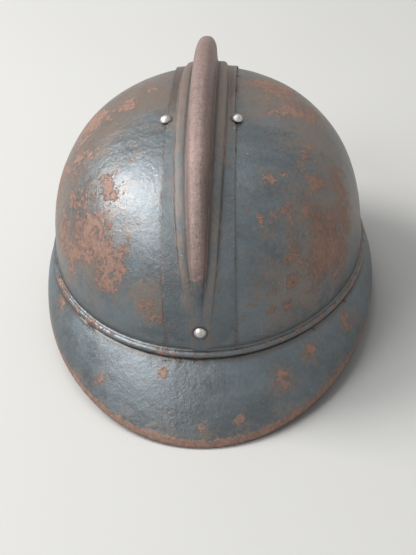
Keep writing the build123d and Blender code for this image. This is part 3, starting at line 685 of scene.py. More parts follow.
def comb_steel(name, colours):
    """Brown rusty steel of the crest's comb, which fades to paint where the rust field is low."""
    f = Finish(name)
    cloud, blotch, grain, dust = (f.noise("comb_" + kind) for kind in ("cloud", "blotch", "grain", "dust"))
    field = f.add(f.field("rust"), f.spread((blotch, 1.1), (grain, .7)))
    tone = f.spread((cloud, 1.8), (grain, 1.0))
    haze = f.times(f.between(f.add(f.field("patina"), f.spread((blotch, 1.5))), .05, .75), .85)
    rusty, paint = weathered(f, colours, field, (.42, .54), tone, haze, ("comb_halo", .5))
    brown = f.fade(f.spread((cloud, 1.1), (grain, 1.7)), -.7, .7, colours.comb_dark, colours.comb_light)
    brown = f.over(brown, f.between(blotch, .55, .68), SHADES["comb_spot"], .45)
    brown = f.fade(dust, .60, .70, brown, SHADES["comb_speck"])
    # Near-black painted shade and dirt go over the colour where the dirt field is high
    f.set(Base_Color=shaded_and_grimed(f, f.mix(rusty, paint, brown), blotch, "comb_shade_and_grime"),
          Metallic=f.blend(rusty, .35, .45), IOR=2.3,
          Roughness=f.between(f.add(f.spread((grain, 1.2)), f.times(rusty, .4)), -.6, .9, .34, .56))
    pitted = f.bump(f.add(blotch, f.spread((dust, .6))), .8 * MM, .9)
    f.set(Normal=f.bump(grain, .4 * MM, .8, pitted))
    return f.material


def bare_metal(name, shade, stain, metal=.95, rough=.34, stain_share=.5):
    """Bare metal with fine rubbed lines, dark pits and some stain in the hollows."""
    f = Finish(name)
    grain, blotch = f.noise("metal_grain"), f.noise("metal_blotch")
    rubbed = f.noise("metal_rubbed", stretch=(1, .12, 1), turn=(0, 0, .5))
    base = f.fade(f.spread((grain, 1.2), (rubbed, 1.2)), -.6, .5, scaled(shade, .55), shade)
    stained = f.times(f.between(blotch, .50, .66), stain_share)
    f.set(Base_Color=f.mix(stained, base, SHADES[stain]), Metallic=f.blend(stained, metal, .3),
          Roughness=f.between(f.add(f.spread((grain, 1)), stained), -.4, .8, rough - .08, rough + .3),
          Normal=f.bump(f.add(grain, blotch), .2 * MM, .6))
    return f.material


def leather(name, shade, sheen=.05, rough=.55):
    """Old leather: pebbled grain, creases, and darker or paler where it is handled."""
    f = Finish(name)
    cells = f.tree.nodes.new("ShaderNodeTexVoronoi")
    cells.feature = "DISTANCE_TO_EDGE"
    cells.inputs["Scale"].default_value = PEBBLES_PER_METRE
    f.tree.links.new(f.place, cells.inputs["Vector"])
    grain = f.between(cells.outputs["Distance"], 0, .12)
    cloud, fine = f.noise("leather_cloud"), f.noise("leather_fine")
    crease = f.noise("leather_crease", stretch=(1, 1, .35))
    folded = f.between(f.step("ABSOLUTE", f.spread((crease, 1))), .004, .03, 1, 0)
    dark = scaled(shade, .42)
    base = f.fade(f.spread((cloud, 1.8), (fine, .9)), -.6, .6, dark, scaled(shade, 1.7, .02))
    base = f.over(base, folded, dark, .5)
    base = f.fade(grain, .6, 0, base, dark)
    f.set(Base_Color=base, Sheen_Weight=sheen,
          Roughness=f.between(f.spread((cloud, 1), (fine, 1)), -.7, .7, rough - .12, rough + .16))
    creased = f.bump(f.step("SUBTRACT", crease, f.times(folded, .3)), 1.2 * MM, .6)
    f.set(Normal=f.bump(f.add(grain, f.spread((fine, .6))), .2 * MM, .7, creased))
    return f.material


def wool_felt(name, shade):
    """Dark pressed wool: short fibres in two directions over soft blotches."""
    f = Finish(name)
    fibres = f.noise("felt_fibres", stretch=(1, 1, .2), turn=(.4, .3, .2))
    across = f.noise("felt_fibres", stretch=(.2, 1, 1), turn=(.1, .9, .4))
    fuzz = f.spread((fibres, 1.6), (across, 1.6))
    tone = f.add(fuzz, f.spread((f.noise("felt_cloud"), 1.2)))
    f.set(Base_Color=f.fade(tone, -.8, 1.1, shade, scaled(shade, 2.6, .02)), Sheen_Weight=.35,
          Roughness=f.between(fuzz, -1, 1, .82, .97), Normal=f.bump(fuzz, .4 * MM, .8))
    return f.material


def waxed_thread(name, shade):
    """Twisted linen thread, darker in the twist."""
    f = Finish(name)
    twist = f.noise("thread_twist", stretch=(1, .3, 1), turn=(0, .6, .4))
    f.set(Base_Color=f.fade(twist, .35, .65, scaled(shade, .45), shade),
          Roughness=f.between(twist, .3, .7, .6, .8), Normal=f.bump(twist, .1 * MM, .8))
    return f.material


def pale_floor(name, shade):
    """Pale warm grey board with faint clouds and a fine tooth."""
    f = Finish(name)
    tooth = f.noise("floor_tooth")
    tone = f.spread((f.noise("floor_cloud"), 1), (tooth, .5))
    f.set(Base_Color=f.fade(tone, -.6, .6, scaled(shade, .96), scaled(shade, 1.03)),
          Roughness=f.between(tooth, .3, .7, .78, .88), Normal=f.bump(tooth, .1 * MM, .3))
    return f.material


# ---- bowl


def bowl_level(s, x, y, z):
    """Zero on the bowl's outside: plan share to its power plus rise share to its power, less one."""
    plan = np.hypot(x / s.bowl_half_width, y / s.bowl_half_length)
    rise = np.maximum((z - SEAM_HEIGHT) / s.bowl_height, 0)
    return plan ** WALL_POWER + rise ** CROWN_POWER - 1


def bowl_normal(s, points):
    """The outward direction at points of the bowl: the gradient of its level."""
    x, y, z = points[..., 0], points[..., 1], points[..., 2]
    plan = np.maximum(np.hypot(x / s.bowl_half_width, y / s.bowl_half_length), 1e-4)
    rise = np.maximum((z - SEAM_HEIGHT) / s.bowl_height, 0)
    steep = WALL_POWER * plan ** (WALL_POWER - 2)
    out = np.stack([steep * x / s.bowl_half_width ** 2, steep * y / s.bowl_half_length ** 2,
                    CROWN_POWER * rise ** (CROWN_POWER - 1) / s.bowl_height], -1)
    return unit(out)


def dome_line(s, grow, rise, count):
    """The bowl's long profile from the crown down to a rise: a superellipse quarter of radius and height."""
    size, height = s.bowl_half_length + grow, s.bowl_height + grow
    low = math.asin((rise / height) ** (CROWN_POWER / 2)) if rise > 0 else 0
    angle = np.linspace(math.pi / 2, low, count)
    radius = size * np.maximum(np.cos(angle), 0) ** (2 / WALL_POWER)
    radius[0] = 0
    return np.stack([radius, SEAM_HEIGHT + height * np.sin(angle) ** (2 / CROWN_POWER)], -1)


def arc(centre, radius, start, end, count):
    """Points of a circle's arc between two angles in degrees."""
    angle = np.radians(np.linspace(start, end, count))
    return np.stack([centre[0] + radius * np.cos(angle), centre[1] + radius * np.sin(angle)], -1)


def bowl_shape(s):
    """The bowl: its profile with the bead carried round an oval, then pushed in softly where it is dented."""
    dome = dome_line(s, 0, FLARE_HEIGHT, DOME_POINTS)
    foot = np.array([s.bowl_half_length, SEAM_HEIGHT + FLARE_HEIGHT])
    dome[-1] = foot
    neck = arc(foot + [BEAD_NECK, 0], BEAD_NECK, 180, 270, 7)[1:]
    bead = arc((foot[0] + BEAD_NECK, SEAM_HEIGHT + s.bead_radius), s.bead_radius, 90, -90, 15)[1:]
    outer = np.concatenate([dome, neck, bead])
    inner = dome_line(s, -SHEET, 0, len(outer))
    around = np.linspace(0, 2 * math.pi, BOWL_AROUND, endpoint=False)
    squeeze = s.bowl_half_width / s.bowl_half_length

    def turned(line):
        return np.stack([line[None, :, 0] * np.cos(around)[:, None] * squeeze,
                         line[None, :, 0] * np.sin(around)[:, None],
                         np.broadcast_to(line[None, :, 1], (len(around), len(line)))], -1)

    skins = [turned(outer), turned(inner)]
    shaped = []
    for skin in skins:
        away = ramp(np.abs(skin[..., 0]), CLEAR_OF_CREST, CREST_FADE)
        away = away * ramp(skin[..., 2], SEAM_HEIGHT + CLEAR_OF_SEAM, SEAM_FADE)
        dent = spots(skin, BOWL_DENTS) * MM + WAVE_DEPTH * (1 + ripple(skin, WAVE_LENGTH, 3))
        shaped.append(skin - bowl_normal(s, skin) * (away * dent)[..., None])
    skin, look = skins[0], BOWL_FIELD
    column = np.arange(len(outer)) - DOME_POINTS
    on_bead = ramp(column, 1, 4)
    crest_edge = flange_edge(s, skin)
    rust = np.maximum(spots(skin, BOWL_RUST), look.bead_rust * on_bead)
    rust = np.maximum(rust, look.edge_rust * crest_edge)
    # Painted shade with dirt in the groove above the bead, on the bead's underside and beside the crest's
    # flange
    groove = bell(skin[..., 2], SEAM_HEIGHT + FLARE_HEIGHT, GROOVE_WIDTH) * (1 - on_bead)
    dirt = np.maximum(look.groove_dirt * groove, look.under_dirt * ramp(column, 14, 6) * on_bead)
    dirt = np.maximum(dirt, look.edge_dirt * crest_edge)
    return two_skins(*shaped, wrap=True, **paired(rust, spots(skin, BOWL_PATINA), dirt, look.inside))


def paired(rust, patina, dirt, inside):
    """The rust, patina, and dirt with painted shade of an outside, each with the even value that the inside
    has.
    """
    keys, values = ("rust", "patina", "dirt"), (rust, patina, dirt)
    return {key: (value, even) for key, value, even in zip(keys, values, inside)}


def flange_edge(s, skin):
    """A narrow field along the crest's outline: e to the minus squared distance from the flange's edge."""
    travelled, y, _ = crown_line(s)
    place = np.interp(-skin[..., 1], -y, travelled)
    full = travelled[-1] - CREST_REAR_GAP - CREST_FRONT_GAP
    half = flange_line(s, np.clip((place - CREST_REAR_GAP) / full, 0, 1), full)
    high = (skin[..., 2] > SEAM_HEIGHT + 2 * EDGE_MARGIN) & (place > CREST_REAR_GAP - EDGE_MARGIN)
    high &= place < travelled[-1] - CREST_FRONT_GAP + EDGE_MARGIN
    return bell(np.abs(skin[..., 0]), half, EDGE_WIDTH) * high


# ---- brims


def brim_frames(s, angles, reach):
    """For each angle round the seam: seam point, outward direction, distance to the rim and its level."""
    half_width = s.bowl_half_width + s.brim_side_reach
    half_length = s.bowl_half_length + reach
    cosine, sine = np.cos(angles), np.sin(angles)
    seam = np.stack([s.bowl_half_width * cosine, s.bowl_half_length * sine], -1)
    out = unit(np.stack([cosine / s.bowl_half_width, sine / s.bowl_half_length], -1))
    square = (out[:, 0] / half_width) ** 2 + (out[:, 1] / half_length) ** 2
    slope = seam[:, 0] * out[:, 0] / half_width ** 2 + seam[:, 1] * out[:, 1] / half_length ** 2
    rest = (seam[:, 0] / half_width) ** 2 + (seam[:, 1] / half_length) ** 2 - 1
    distance = (-slope + np.sqrt(slope ** 2 - square * rest)) / square
    rim_y = seam[:, 1] + distance * out[:, 1]
    level = RIM_SIDE_RISE * (1 - (rim_y / half_length) ** 2) - REST_FLAT
    return seam, out, distance, level


def brim_corners(s, distance, level):
    """The slope's start, the roll's centre, and unit directions along and above the slope, in each section."""
    start = np.stack([np.full_like(distance, BEAD_NECK + s.bead_radius - SLOPE_TUCK),
                      np.full_like(distance, -BEAD_SINK)], -1)
    centre = np.stack([distance - s.rim_roll_radius, level + s.rim_roll_radius - SEAM_HEIGHT], -1)
    along = centre - start
    size = np.linalg.norm(along, axis=-1, keepdims=True)
    along = along / size
    above = np.stack([-along[:, 1], along[:, 0]], -1)
    return start, centre, along, above, size


def bowed(first, last, bulge, count):
    """A shallow bow between two points of each section: a straight line plus four t (1 - t) times the bulge."""
    t = np.linspace(0, 1, count)[None, :, None]
    return first[:, None] + (last - first)[:, None] * t + 4 * t * (1 - t) * bulge[:, None]


def place_section(seam, out, lines):
    """Section points, as distance out and height over the seam, put into space."""
    return np.stack([seam[:, None, 0] + out[:, None, 0] * lines[..., 0],
                     seam[:, None, 1] + out[:, None, 1] * lines[..., 0],
                     np.maximum(SEAM_HEIGHT + lines[..., 1], 0)], -1)


def brim_shape(s, side, reach, seed):
    """Half a brim: upstand, shelf under the bead, bowed slope and rolled rim, carried along the seam."""
    gap = FOLD_GAP / s.bowl_half_length
    angles = side * np.linspace(gap, math.pi - gap, BRIM_ALONG)
    seam, out, distance, level = brim_frames(s, angles, reach)
    start, centre, along, above, size = brim_corners(s, distance, level)
    rows = len(angles)
    bulge = above * BRIM_BULGE_SHARE * size
    roll = s.rim_roll_radius
    top_end = centre + above * roll
    inset = roll - SHEET
    low_end = centre + above * inset - along * math.sqrt(roll ** 2 - inset ** 2)
    wall, back = -(SHEET + FOLD_GAP), -(2 * SHEET + FOLD_GAP)

    def fixed(x, z):
        return np.broadcast_to(np.array([x, z]), (rows, 1, 2))

    turn = np.linspace(math.pi / 2, ROLL_END - math.pi, 20)[1:, None]
    curl = centre[:, None] + roll * (np.sin(turn) * above[:, None] + np.cos(turn) * along[:, None])
    top = np.concatenate([fixed(wall, UPSTAND_HEIGHT), fixed(wall, UPSTAND_KNEE), fixed(wall, UPSTAND_BEND),
                          fixed(wall + UPSTAND_BEND, -BEAD_SINK), bowed(start, top_end, bulge, SLOPE_POINTS),
                          curl, low_end[:, None]], 1)
    under_bow = bowed(start - [0, SHEET], low_end, bulge, top.shape[1] - 4)
    under = np.concatenate([fixed(back, UPSTAND_HEIGHT), fixed(back, UPSTAND_KNEE), fixed(back, 0),
                            fixed(back + UNDER_BEND, -BEAD_SINK - SHEET), under_bow], 1)
    column = np.arange(top.shape[1])
    flat = ramp(column, 5, 8) * (1 - ramp(column, SLOPE_POINTS - 6, 6))
    skins = [place_section(seam, out, lines) for lines in (top, under)]
    uneven = BRIM_WAVE_DEPTH * ripple(skins[0], BRIM_WAVE_LENGTH, seed) * flat
    for skin in skins:
        skin[..., 2] += uneven
    look, patches = BRIM_FIELD, spots(skins[0], BRIM_RUST)
    rust = np.maximum(patches, look.roll_rust * ramp(column, SLOPE_POINTS, 2.5))
    rust = np.maximum(rust, look.bead_rust * (column < 7))
    # Painted shade with dirt in the groove under the bead; dirt alone near the rim
    dirt = look.groove_dirt * bell(column, 4.5, 2.0) + look.roll_dirt * bell(column, SLOPE_POINTS - .5, 1.2)
    patina = look.roll_patina * ramp(column, SLOPE_POINTS - 6, 8) + patches
    return two_skins(*skins, **paired(rust, patina, dirt, look.inside))


def tongue_shape(s, mirrored):
    """The guard's plain tongue, which sinks by a sheet and laps under the visor at the side."""
    root, tip = TONGUE_ROOT / s.bowl_half_length, TONGUE_TIP / s.bowl_half_length
    turned = np.linspace(root, -tip, 24)
    drop = np.interp(turned, [-tip, root / 3, root], [TONGUE_DROP, TONGUE_DROP, TONGUE_ROOT_DROP])
    reaches = np.where(turned > 0, s.guard_reach, s.visor_reach)
    angles = math.pi - turned if mirrored else turned
    seam, out, distance, level = (np.concatenate(parts) for parts in zip(
        *(brim_frames(s, angles[k:k + 1], reaches[k]) for k in range(len(angles)))))
    start, centre, along, above, size = brim_corners(s, distance, level)
    bulge = above * BRIM_BULGE_SHARE * size
    first = start + along * TONGUE_INSET - above * drop[:, None]
    last = centre - along * TONGUE_INSET + above * (s.rim_roll_radius - drop)[:, None]
    top = bowed(first, last, bulge, 14)
    skins = [place_section(seam, out, lines) for lines in (top, top - above[:, None] * SHEET)]
    return two_skins(skins[0], skins[1], rust=.45, patina=.5, dirt=.3)


# ---- crest


def crown_line(s):
    """The bowl's centre line from the rear seam over the crown to the front seam: distance, y and z."""
    angle = np.linspace(0, math.pi, 2881)
    y = s.bowl_half_length * np.sign(np.cos(angle)) * np.abs(np.cos(angle)) ** (2 / WALL_POWER)
    z = SEAM_HEIGHT + s.bowl_height * np.abs(np.sin(angle)) ** (2 / CROWN_POWER)
    return distance_along(np.stack([y, z], -1)), y, z


def flange_line(s, along, full):
    """Half the flange's width along the crest: its station share, inside an ellipse at each rounded end."""
    half = np.interp(along, CREST_STATIONS[:, 0], CREST_STATIONS[:, 1]) * s.flange_half_width
    from_end = np.minimum(along, 1 - along) * full
    end = np.where(along < .5, CREST_STATIONS[0, 1], CREST_STATIONS[-1, 1]) * s.flange_half_width
    short = np.clip(1 - from_end / FLANGE_ROUND, 0, 1)
    return np.minimum(half, end * np.sqrt(np.maximum(1 - short ** 2, 0)))


def surface_drop(s, origin, normal, x):
    """How far the bowl lies below the crown's tangent line at a width, found by halving an interval."""
    low, high = np.full(x.shape, -.06), np.full(x.shape, .002)
    for _ in range(36):
        middle = (low + high) / 2
        y = origin[:, None, 0] + normal[:, None, 0] * middle
        z = origin[:, None, 1] + normal[:, None, 1] * middle
        outside = bowl_level(s, x, y, z) > 0
        high, low = np.where(outside, middle, high), np.where(outside, low, middle)
    return (low + high) / 2


def station_shares(along):
    """The crest's station shares at each place, joined by straight lines and rounded by a moving mean."""
    fine = np.linspace(0, 1, 801)
    kernel = np.hanning(27)
    kernel /= kernel.sum()
    shares = []
    for column in range(2, 7):
        values = np.interp(fine, CREST_STATIONS[:, 0], CREST_STATIONS[:, column])
        padded = np.pad(values, 13, mode="edge")
        shares.append(np.interp(along, fine, np.convolve(padded, kernel, mode="valid")))
    return shares


def crest_skin(s, along, inset):
    """One side of the crest's sheet: comb arc, comb wall, bed, step and flange across each place, in space."""
    travelled, line_y, line_z = crown_line(s)
    full = travelled[-1] - CREST_REAR_GAP - CREST_FRONT_GAP
    place = CREST_REAR_GAP + along * full
    origin = np.stack([np.interp(place, travelled, line_y), np.interp(place, travelled, line_z)], -1)
    normal = bowl_normal(s, np.stack([np.zeros(len(along)), origin[:, 0], origin[:, 1]], -1))[:, 1:]
    bed, rise, comb, height, lift = (share[:, None] for share in station_shares(along))
    edge_limit = flange_line(s, along, full)[:, None]
    cover = CREST_SEAT_GAP + CREST_SHEET - inset
    bed_x = np.minimum(bed * s.bed_half_width - inset * rise, edge_limit * .98)
    edge_x = np.minimum(bed * s.bed_half_width - (1 * MM + inset) * rise, edge_limit * .94)
    foot_x = np.minimum(comb * s.comb_half_width + COMB_FOOT - inset * comb, edge_x * .9)
    comb_x = np.minimum(comb * (s.comb_half_width - inset), foot_x * .97)
    ends = np.concatenate([bed_x, edge_x, foot_x], 1)
    bed_drop, edge_drop, foot_drop = (d[:, None] for d in surface_drop(s, origin, normal, ends).T)
    bed_top = cover + rise * BED_RISE
    foot_y, edge_y = foot_drop + bed_top, edge_drop + bed_top
    reach = bed_top + height * s.comb_height - foot_y
    turn = np.linspace(math.pi / 2, 0, COMB_POINTS)[None, :]
    arc_x = comb_x * np.maximum(np.cos(turn), 0) ** (2 / COMB_POWER)
    arc_y = foot_y + reach * (COMB_LOW_SHARE + (1 - COMB_LOW_SHARE) * np.sin(turn) ** (2 / COMB_POWER))
    t, bed_t, step_t, flange_t = (np.linspace(0, 1, count)[None, 1:] for count in
                                  (WALL_POINTS, BED_POINTS, STEP_POINTS, FLANGE_POINTS))
    wall_x, wall_y = comb_x + (foot_x - comb_x) * t ** 1.6, foot_y + reach * COMB_LOW_SHARE * (1 - t)
    bed_line_x = foot_x + (edge_x - foot_x) * bed_t
    bed_line_y = foot_y + (edge_y - foot_y) * bed_t + 4 * bed_t * (1 - bed_t) * rise * BED_CROWN
    step_x, step_y = edge_x + (bed_x - edge_x) * step_t, edge_y + (bed_drop + cover - edge_y) * step_t
    flange_x = bed_x + (edge_limit - bed_x) * flange_t
    flange_y = surface_drop(s, origin, normal, flange_x) + cover + lift * VENT_LIFT * flange_t
    half_x = np.concatenate([arc_x, wall_x, bed_line_x, step_x, flange_x], 1)
    half_y = np.concatenate([arc_y, wall_y, bed_line_y, step_y, flange_y], 1)
    across = np.concatenate([-half_x[:, :0:-1], half_x], 1)
    up = np.concatenate([half_y[:, :0:-1], half_y], 1)
    across, up = smooth_columns(across, 1), smooth_columns(up, 2)
    return np.stack([across, origin[:, None, 0] + normal[:, None, 0] * up,
                     origin[:, None, 1] + normal[:, None, 1] * up], -1)


def crest_shape(s):
    """The crest's sheet between its two skins, with rust by place: all over the comb, in lines elsewhere."""
    along = .5 - .5 * np.cos(np.linspace(0, math.pi, CREST_ALONG))
    outer, inner = crest_skin(s, along, 0), crest_skin(s, along, CREST_SHEET)
    step = np.abs(np.arange(outer.shape[1]) - outer.shape[1] // 2)
    height, look = station_shares(along)[3], CREST_FIELD
    tall = np.clip(height * 2.2, 0, 1)[:, None]
    on_comb = (1 - ramp(step, 22, 3)) * tall
    lines = np.interp(step, *CREST_RUST_LINE.T) * (.75 + .25 * tall)
    rust = np.maximum(look.comb_rust * on_comb, lines + look.rust_wave * ripple(outer, 40 * MM, 11))
    # Painted shade with dirt in the crevice at the comb's foot, at the foot of the step and round each rivet's
    # rim
    crevice_shade_and_dirt = look.foot_dirt * bell(step, 23.5, 1.6) + look.step_dirt * bell(step, 37.5, 1.2)
    dirt = crevice_shade_and_dirt * np.clip(height * 3, .25, 1)[:, None]
    for place in rivet_places():
        gap = np.linalg.norm(outer - place, axis=-1)
        dirt = np.maximum(dirt, look.rivet_dirt * bell(gap, RIVET_RING, RIVET_RING_WIDTH))
    patina = look.patina + look.front_patina * ramp(along, .40, .14)[:, None]
    patina = patina + look.bed_patina * bell(step, 30, 7) + look.patina_wave * ripple(outer, 50 * MM, 5)
    return two_skins(outer, inner, **paired(rust, patina, dirt, look.inside))


def rivet_places():
    """The middles of the four rivets, from the CAD model, about the bowl's centre."""
    return [np.array((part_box(name)[0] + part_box(name)[1]) / 2) - BOWL_CENTRE for name in RIVETS]


# ---- liner


def ellipse_perimeter(half_width, half_length):
    """The length round an oval, by Ramanujan's rule."""
    return math.pi * (3 * (half_width + half_length)
                      - math.sqrt((3 * half_width + half_length) * (half_width + 3 * half_length)))


def felt_shape(s):
    """The felt band: an upright oval wall whose faces and upper edge wander a little."""
    around = np.linspace(0, 2 * math.pi, BAND_AROUND, endpoint=False)[:, None]
    up = np.linspace(0, 1, 14)[None, :]
    skins = []
    for inset in (BAND_GAP, BAND_GAP + FELT_THICKNESS):
        edge = FELT_EDGE * ramp(2 * np.abs(up - .5), .75, .25) * (1 if inset == BAND_GAP else -1)
        reach = edge + FELT_WAVE * np.sin(23 * around + 2.2 * up)
        x = (s.bowl_half_width - inset - reach) * np.cos(around)
        y = (s.bowl_half_length - inset - reach) * np.sin(around)
        z = SEAM_HEIGHT + BAND_RISE + BAND_HEIGHT * up + FELT_EDGE_WAVE * np.sin(17 * around) * (up - .5)
        skins.append(np.stack([x, y, z], -1))
    return two_skins(skins[0], skins[1], wrap=True)


def cap_line(s, inset, count):
    """The cap's long profile by distance: upright band, bend, then the slope up to the opening."""
    size = s.bowl_half_length - LEATHER_INSET - inset
    level = SEAM_HEIGHT + BAND_RISE + LEATHER_BAND_HEIGHT
    bend = CAP_BEND - inset
    turn = math.pi / 2 - CAP_SLOPE
    bend_end = np.array([size - bend + bend * math.cos(turn), level + bend * math.sin(turn)])
    top = np.array([CAP_OPENING, bend_end[1] + (bend_end[0] - CAP_OPENING) * math.tan(CAP_SLOPE)])
    upright = np.stack([np.full(count[0], size), np.linspace(level - LEATHER_BAND_HEIGHT, level, count[0])], -1)
    curve = arc((size - bend, level), bend, 0, math.degrees(turn), count[1])[1:]
    slope = bend_end + (top - bend_end) * np.linspace(0, 1, count[2])[1:, None]
    return np.concatenate([upright, curve, slope])


def cap_sector(s, number):
    """One seventh of the leather: full width in the band, then a tongue that the slots beside it narrow."""
    count = (12, 22, 26)
    squeeze = (s.bowl_half_width - LEATHER_INSET) / (s.bowl_half_length - LEATHER_INSET)
    step = 2 * math.pi / TONGUES
    t = np.linspace(0, 1, 41)[:, None]
    skins = []
    for inset in (0, LEATHER_THICKNESS):
        line = cap_line(s, inset, count)
        radius = line[None, :, 0]
        half = np.maximum(SLOT_HALF_WIDTH * (SLOT_TIP - radius) / (SLOT_TIP - SLOT_START), 0)
        margin = np.arcsin(half / radius)
        angle = number * step + margin + t * (step - 2 * margin)
        tongue = np.clip((SLOT_TIP - radius) / (SLOT_TIP - CAP_OPENING), 0, 1)
        curl = TONGUE_CURL * (2 * t - 1) ** 2 + TONGUE_WAVE * np.sin(3.1 * number + 5 * tongue)
        sag = tongue * curl + TONGUE_SAG * tongue ** 4
        fold = LEATHER_FOLD * np.sin(38 * angle + 1.7 * number) * np.clip(1 - 1.4 * tongue, 0, 1)
        radius = radius - np.abs(fold)
        skins.append(np.stack([radius * np.cos(angle) * squeeze, radius * np.sin(angle),
                               line[None, :, 1] - sag], -1))
    free = cap_line(s, 0, count)[:, 0] < SLOT_TIP
    return two_skins(skins[0], skins[1], open_sides=free[1:])


def seam_stitches(s, level, inset, pitch):
    """Stitches round the leather's lower edge, each a small bead along an oval."""
    half_width, half_length = s.bowl_half_width - inset, s.bowl_half_length - inset
    count = int(ellipse_perimeter(half_width, half_length) / pitch)
    angle = np.linspace(0, 2 * math.pi, count, endpoint=False)
    places = np.stack([half_width * np.cos(angle), half_length * np.sin(angle), np.full(count, level)], -1)
    along = np.stack([-half_width * np.sin(angle), half_length * np.cos(angle), np.zeros(count)], -1)
    along = unit(along)
    up = np.broadcast_to([0.0, 0.0, 1.0], along.shape)
    return scatter(places, along, up, np.array([pitch * STITCH_SHARE, .32 * MM, .30 * MM]))


# ---- strap


def strap_half_path(s):
    """One side of the strap's centre line in x and z, from the sewn tail round the bail's bar to the middle.

    The run from the bar is a Hermite curve, the eye an arc round the bar, and the tail the run moved outwards.
    """
    low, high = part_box("bail_left")
    bar = np.array([(low.x + high.x) / 2, low.z + BAIL_WIRE_RADIUS])
    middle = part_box("chin_strap")[0].z + s.strap_thickness / 2
    start, end = bar - [EYE_RADIUS, 0], np.array([STRAP_FLAT_HALF, middle])
    chord = np.linalg.norm(end - start)
    t = np.linspace(0, 1, 60)[:, None]
    leave, arrive = np.array(STRAP_LEAVES) * chord, np.array([-1.0, 0]) * chord
    run = ((2 * t ** 3 - 3 * t ** 2 + 1) * start + (t ** 3 - 2 * t ** 2 + t) * leave
           + (3 * t ** 2 - 2 * t ** 3) * end + (t ** 3 - t ** 2) * arrive)
    flat = np.stack([np.linspace(STRAP_FLAT_HALF, 0, 30)[1:], np.full(29, middle)], -1)
    direction = unit(np.gradient(run, axis=0))
    outward = np.stack([-direction[:, 1], direction[:, 0]], -1)
    travelled = distance_along(run)
    sewn = (travelled > SEWN_START) & (travelled < SEWN_END)
    tail = (run + outward * TAIL_LIFT * s.strap_thickness)[sewn][::-1]
    turn = np.radians(np.linspace(-72, 180, 26))
    loop = bar + EYE_RADIUS * np.stack([np.cos(turn), np.sin(turn)], -1)
    return np.concatenate([tail, loop, run[1:], flat]), tail, outward[sewn][::-1]


def strap_shape(s):
    """The strap: a flat band with thinned edges carried along its line, which crosses from bail to bail."""
    half = strap_half_path(s)[0]
    path = smooth_columns(np.concatenate([half, (half * [-1, 1])[-2::-1]]).T, 2).T
    direction = unit(np.gradient(path, axis=0))
    normal = np.stack([-direction[:, 1], direction[:, 0]], -1)
    across = np.linspace(-1, 1, 15)
    across = np.sign(across) * np.abs(across) ** .7
    half_thick = s.strap_thickness / 2 * (.97 - .35 * np.abs(across) ** 8)
    skins = []
    for side in (1, -1):
        offset = path[:, None] + side * half_thick[None, :, None] * normal[:, None]
        y = np.broadcast_to(across * s.strap_width / 2, offset.shape[:2])
        skins.append(np.stack([offset[..., 0], y, offset[..., 1]], -1))
    return two_skins(skins[0], skins[1])


def strap_stitches(s):
    """Two rows of stitches along each sewn tail, and one row across its end."""
    _, tail, outward = strap_half_path(s)
    travelled = distance_along(tail)
    stops = np.arange(2 * MM, travelled[-1] - 2 * MM, s.stitch_pitch)
    line = np.stack([np.interp(stops, travelled, tail[:, k]) for k in (0, 1)], -1)
    out = np.stack([np.interp(stops, travelled, outward[:, k]) for k in (0, 1)], -1)
    surface = line + out * (s.strap_thickness / 2)
    direction = np.stack([-out[:, 1], out[:, 0]], -1)
    groups = []
    for mirror in (1, -1):
        for row in (-1, 1):
            y = np.full(len(stops), row * STITCH_ROW_SHARE * s.strap_width)
            places = np.stack([mirror * surface[:, 0], y, surface[:, 1]], -1)
            along = np.stack([mirror * direction[:, 0], np.zeros(len(stops)), direction[:, 1]], -1)
            side = np.broadcast_to([0.0, 1.0, 0.0], along.shape)
            groups.append(scatter(places, along, side,
                                  np.array([s.stitch_pitch * STITCH_SHARE, STITCH_SIDE, STITCH_HEIGHT])))
        y = np.arange(-.24, .25, .12) * s.strap_width
        places = np.stack([np.full(len(y), mirror * surface[0, 0]), y, np.full(len(y), surface[0, 1])], -1)
        side = np.broadcast_to([mirror * direction[0, 0], 0, direction[0, 1]], places.shape)
        along = np.broadcast_to([0.0, 1.0, 0.0], places.shape)
        groups.append(scatter(places, along, side, np.array([2 * STITCH_SIDE, STITCH_SIDE, STITCH_HEIGHT])))
    return join_shapes(groups)


# ---- operators


class HELMET_OT_bowl(bpy.types.Operator):
    """Builds the dented steel bowl with its bead."""

    bl_idname = "helmet.bowl"
    bl_label = "Bowl"

    def execute(self, context):
        paint = aged_paint("worn_bowl_paint", context.scene.helmet_colours)
        bowl = bowl_shape(context.scene.helmet_sizes)
        make_piece("steel_bowl", bowl, paint, "helmet", ["bowl"])
        return {"FINISHED"}


class HELMET_OT_brims(bpy.types.Operator):
    """Builds the visor and the neck guard with its lapped tongues."""

    bl_idname = "helmet.brims"
    bl_label = "Brims"

    def execute(self, context):
        s, colours = context.scene.helmet_sizes, context.scene.helmet_colours
        paint = aged_paint("worn_brim_paint", colours, rough=.40, scratch_turn=(.1, .2, 2.2))
        visor = brim_shape(s, -1, s.visor_reach, 21)
        make_piece("visor_brim", visor, paint, "helmet", ["front_visor"])
        half = brim_shape(s, 1, s.guard_reach, 22)
        guard = join_shapes([half, tongue_shape(s, False), tongue_shape(s, True)])
        make_piece("neck_guard_brim", guard, paint, "helmet", ["neck_guard"])
        return {"FINISHED"}


class HELMET_OT_crest(bpy.types.Operator):
    """Builds the crest and gives its rivets bright steel."""

    bl_idname = "helmet.crest"
    bl_label = "Crest"

    def execute(self, context):
        colours = context.scene.helmet_colours
        make_piece("rusty_crest", crest_shape(context.scene.helmet_sizes), comb_steel("rusty_comb", colours),
                   "helmet", ["crest"], sharp=60)
        bright = bare_metal("bright_rivet", colours.steel, "rivet_stain", rough=.36, stain_share=.55)
        dress(bright, "rivet_steel", *RIVETS)
        return {"FINISHED"}


class HELMET_OT_badge(bpy.types.Operator):
    """Gives the front badge its worn dark paint."""

    bl_idname = "helmet.badge"
    bl_label = "Badge"

    def execute(self, context):
        paint = aged_paint("worn_badge_paint", context.scene.helmet_colours, rust_bias=.22)
        dress(paint, "badge_paint", "front_badge")
        return {"FINISHED"}


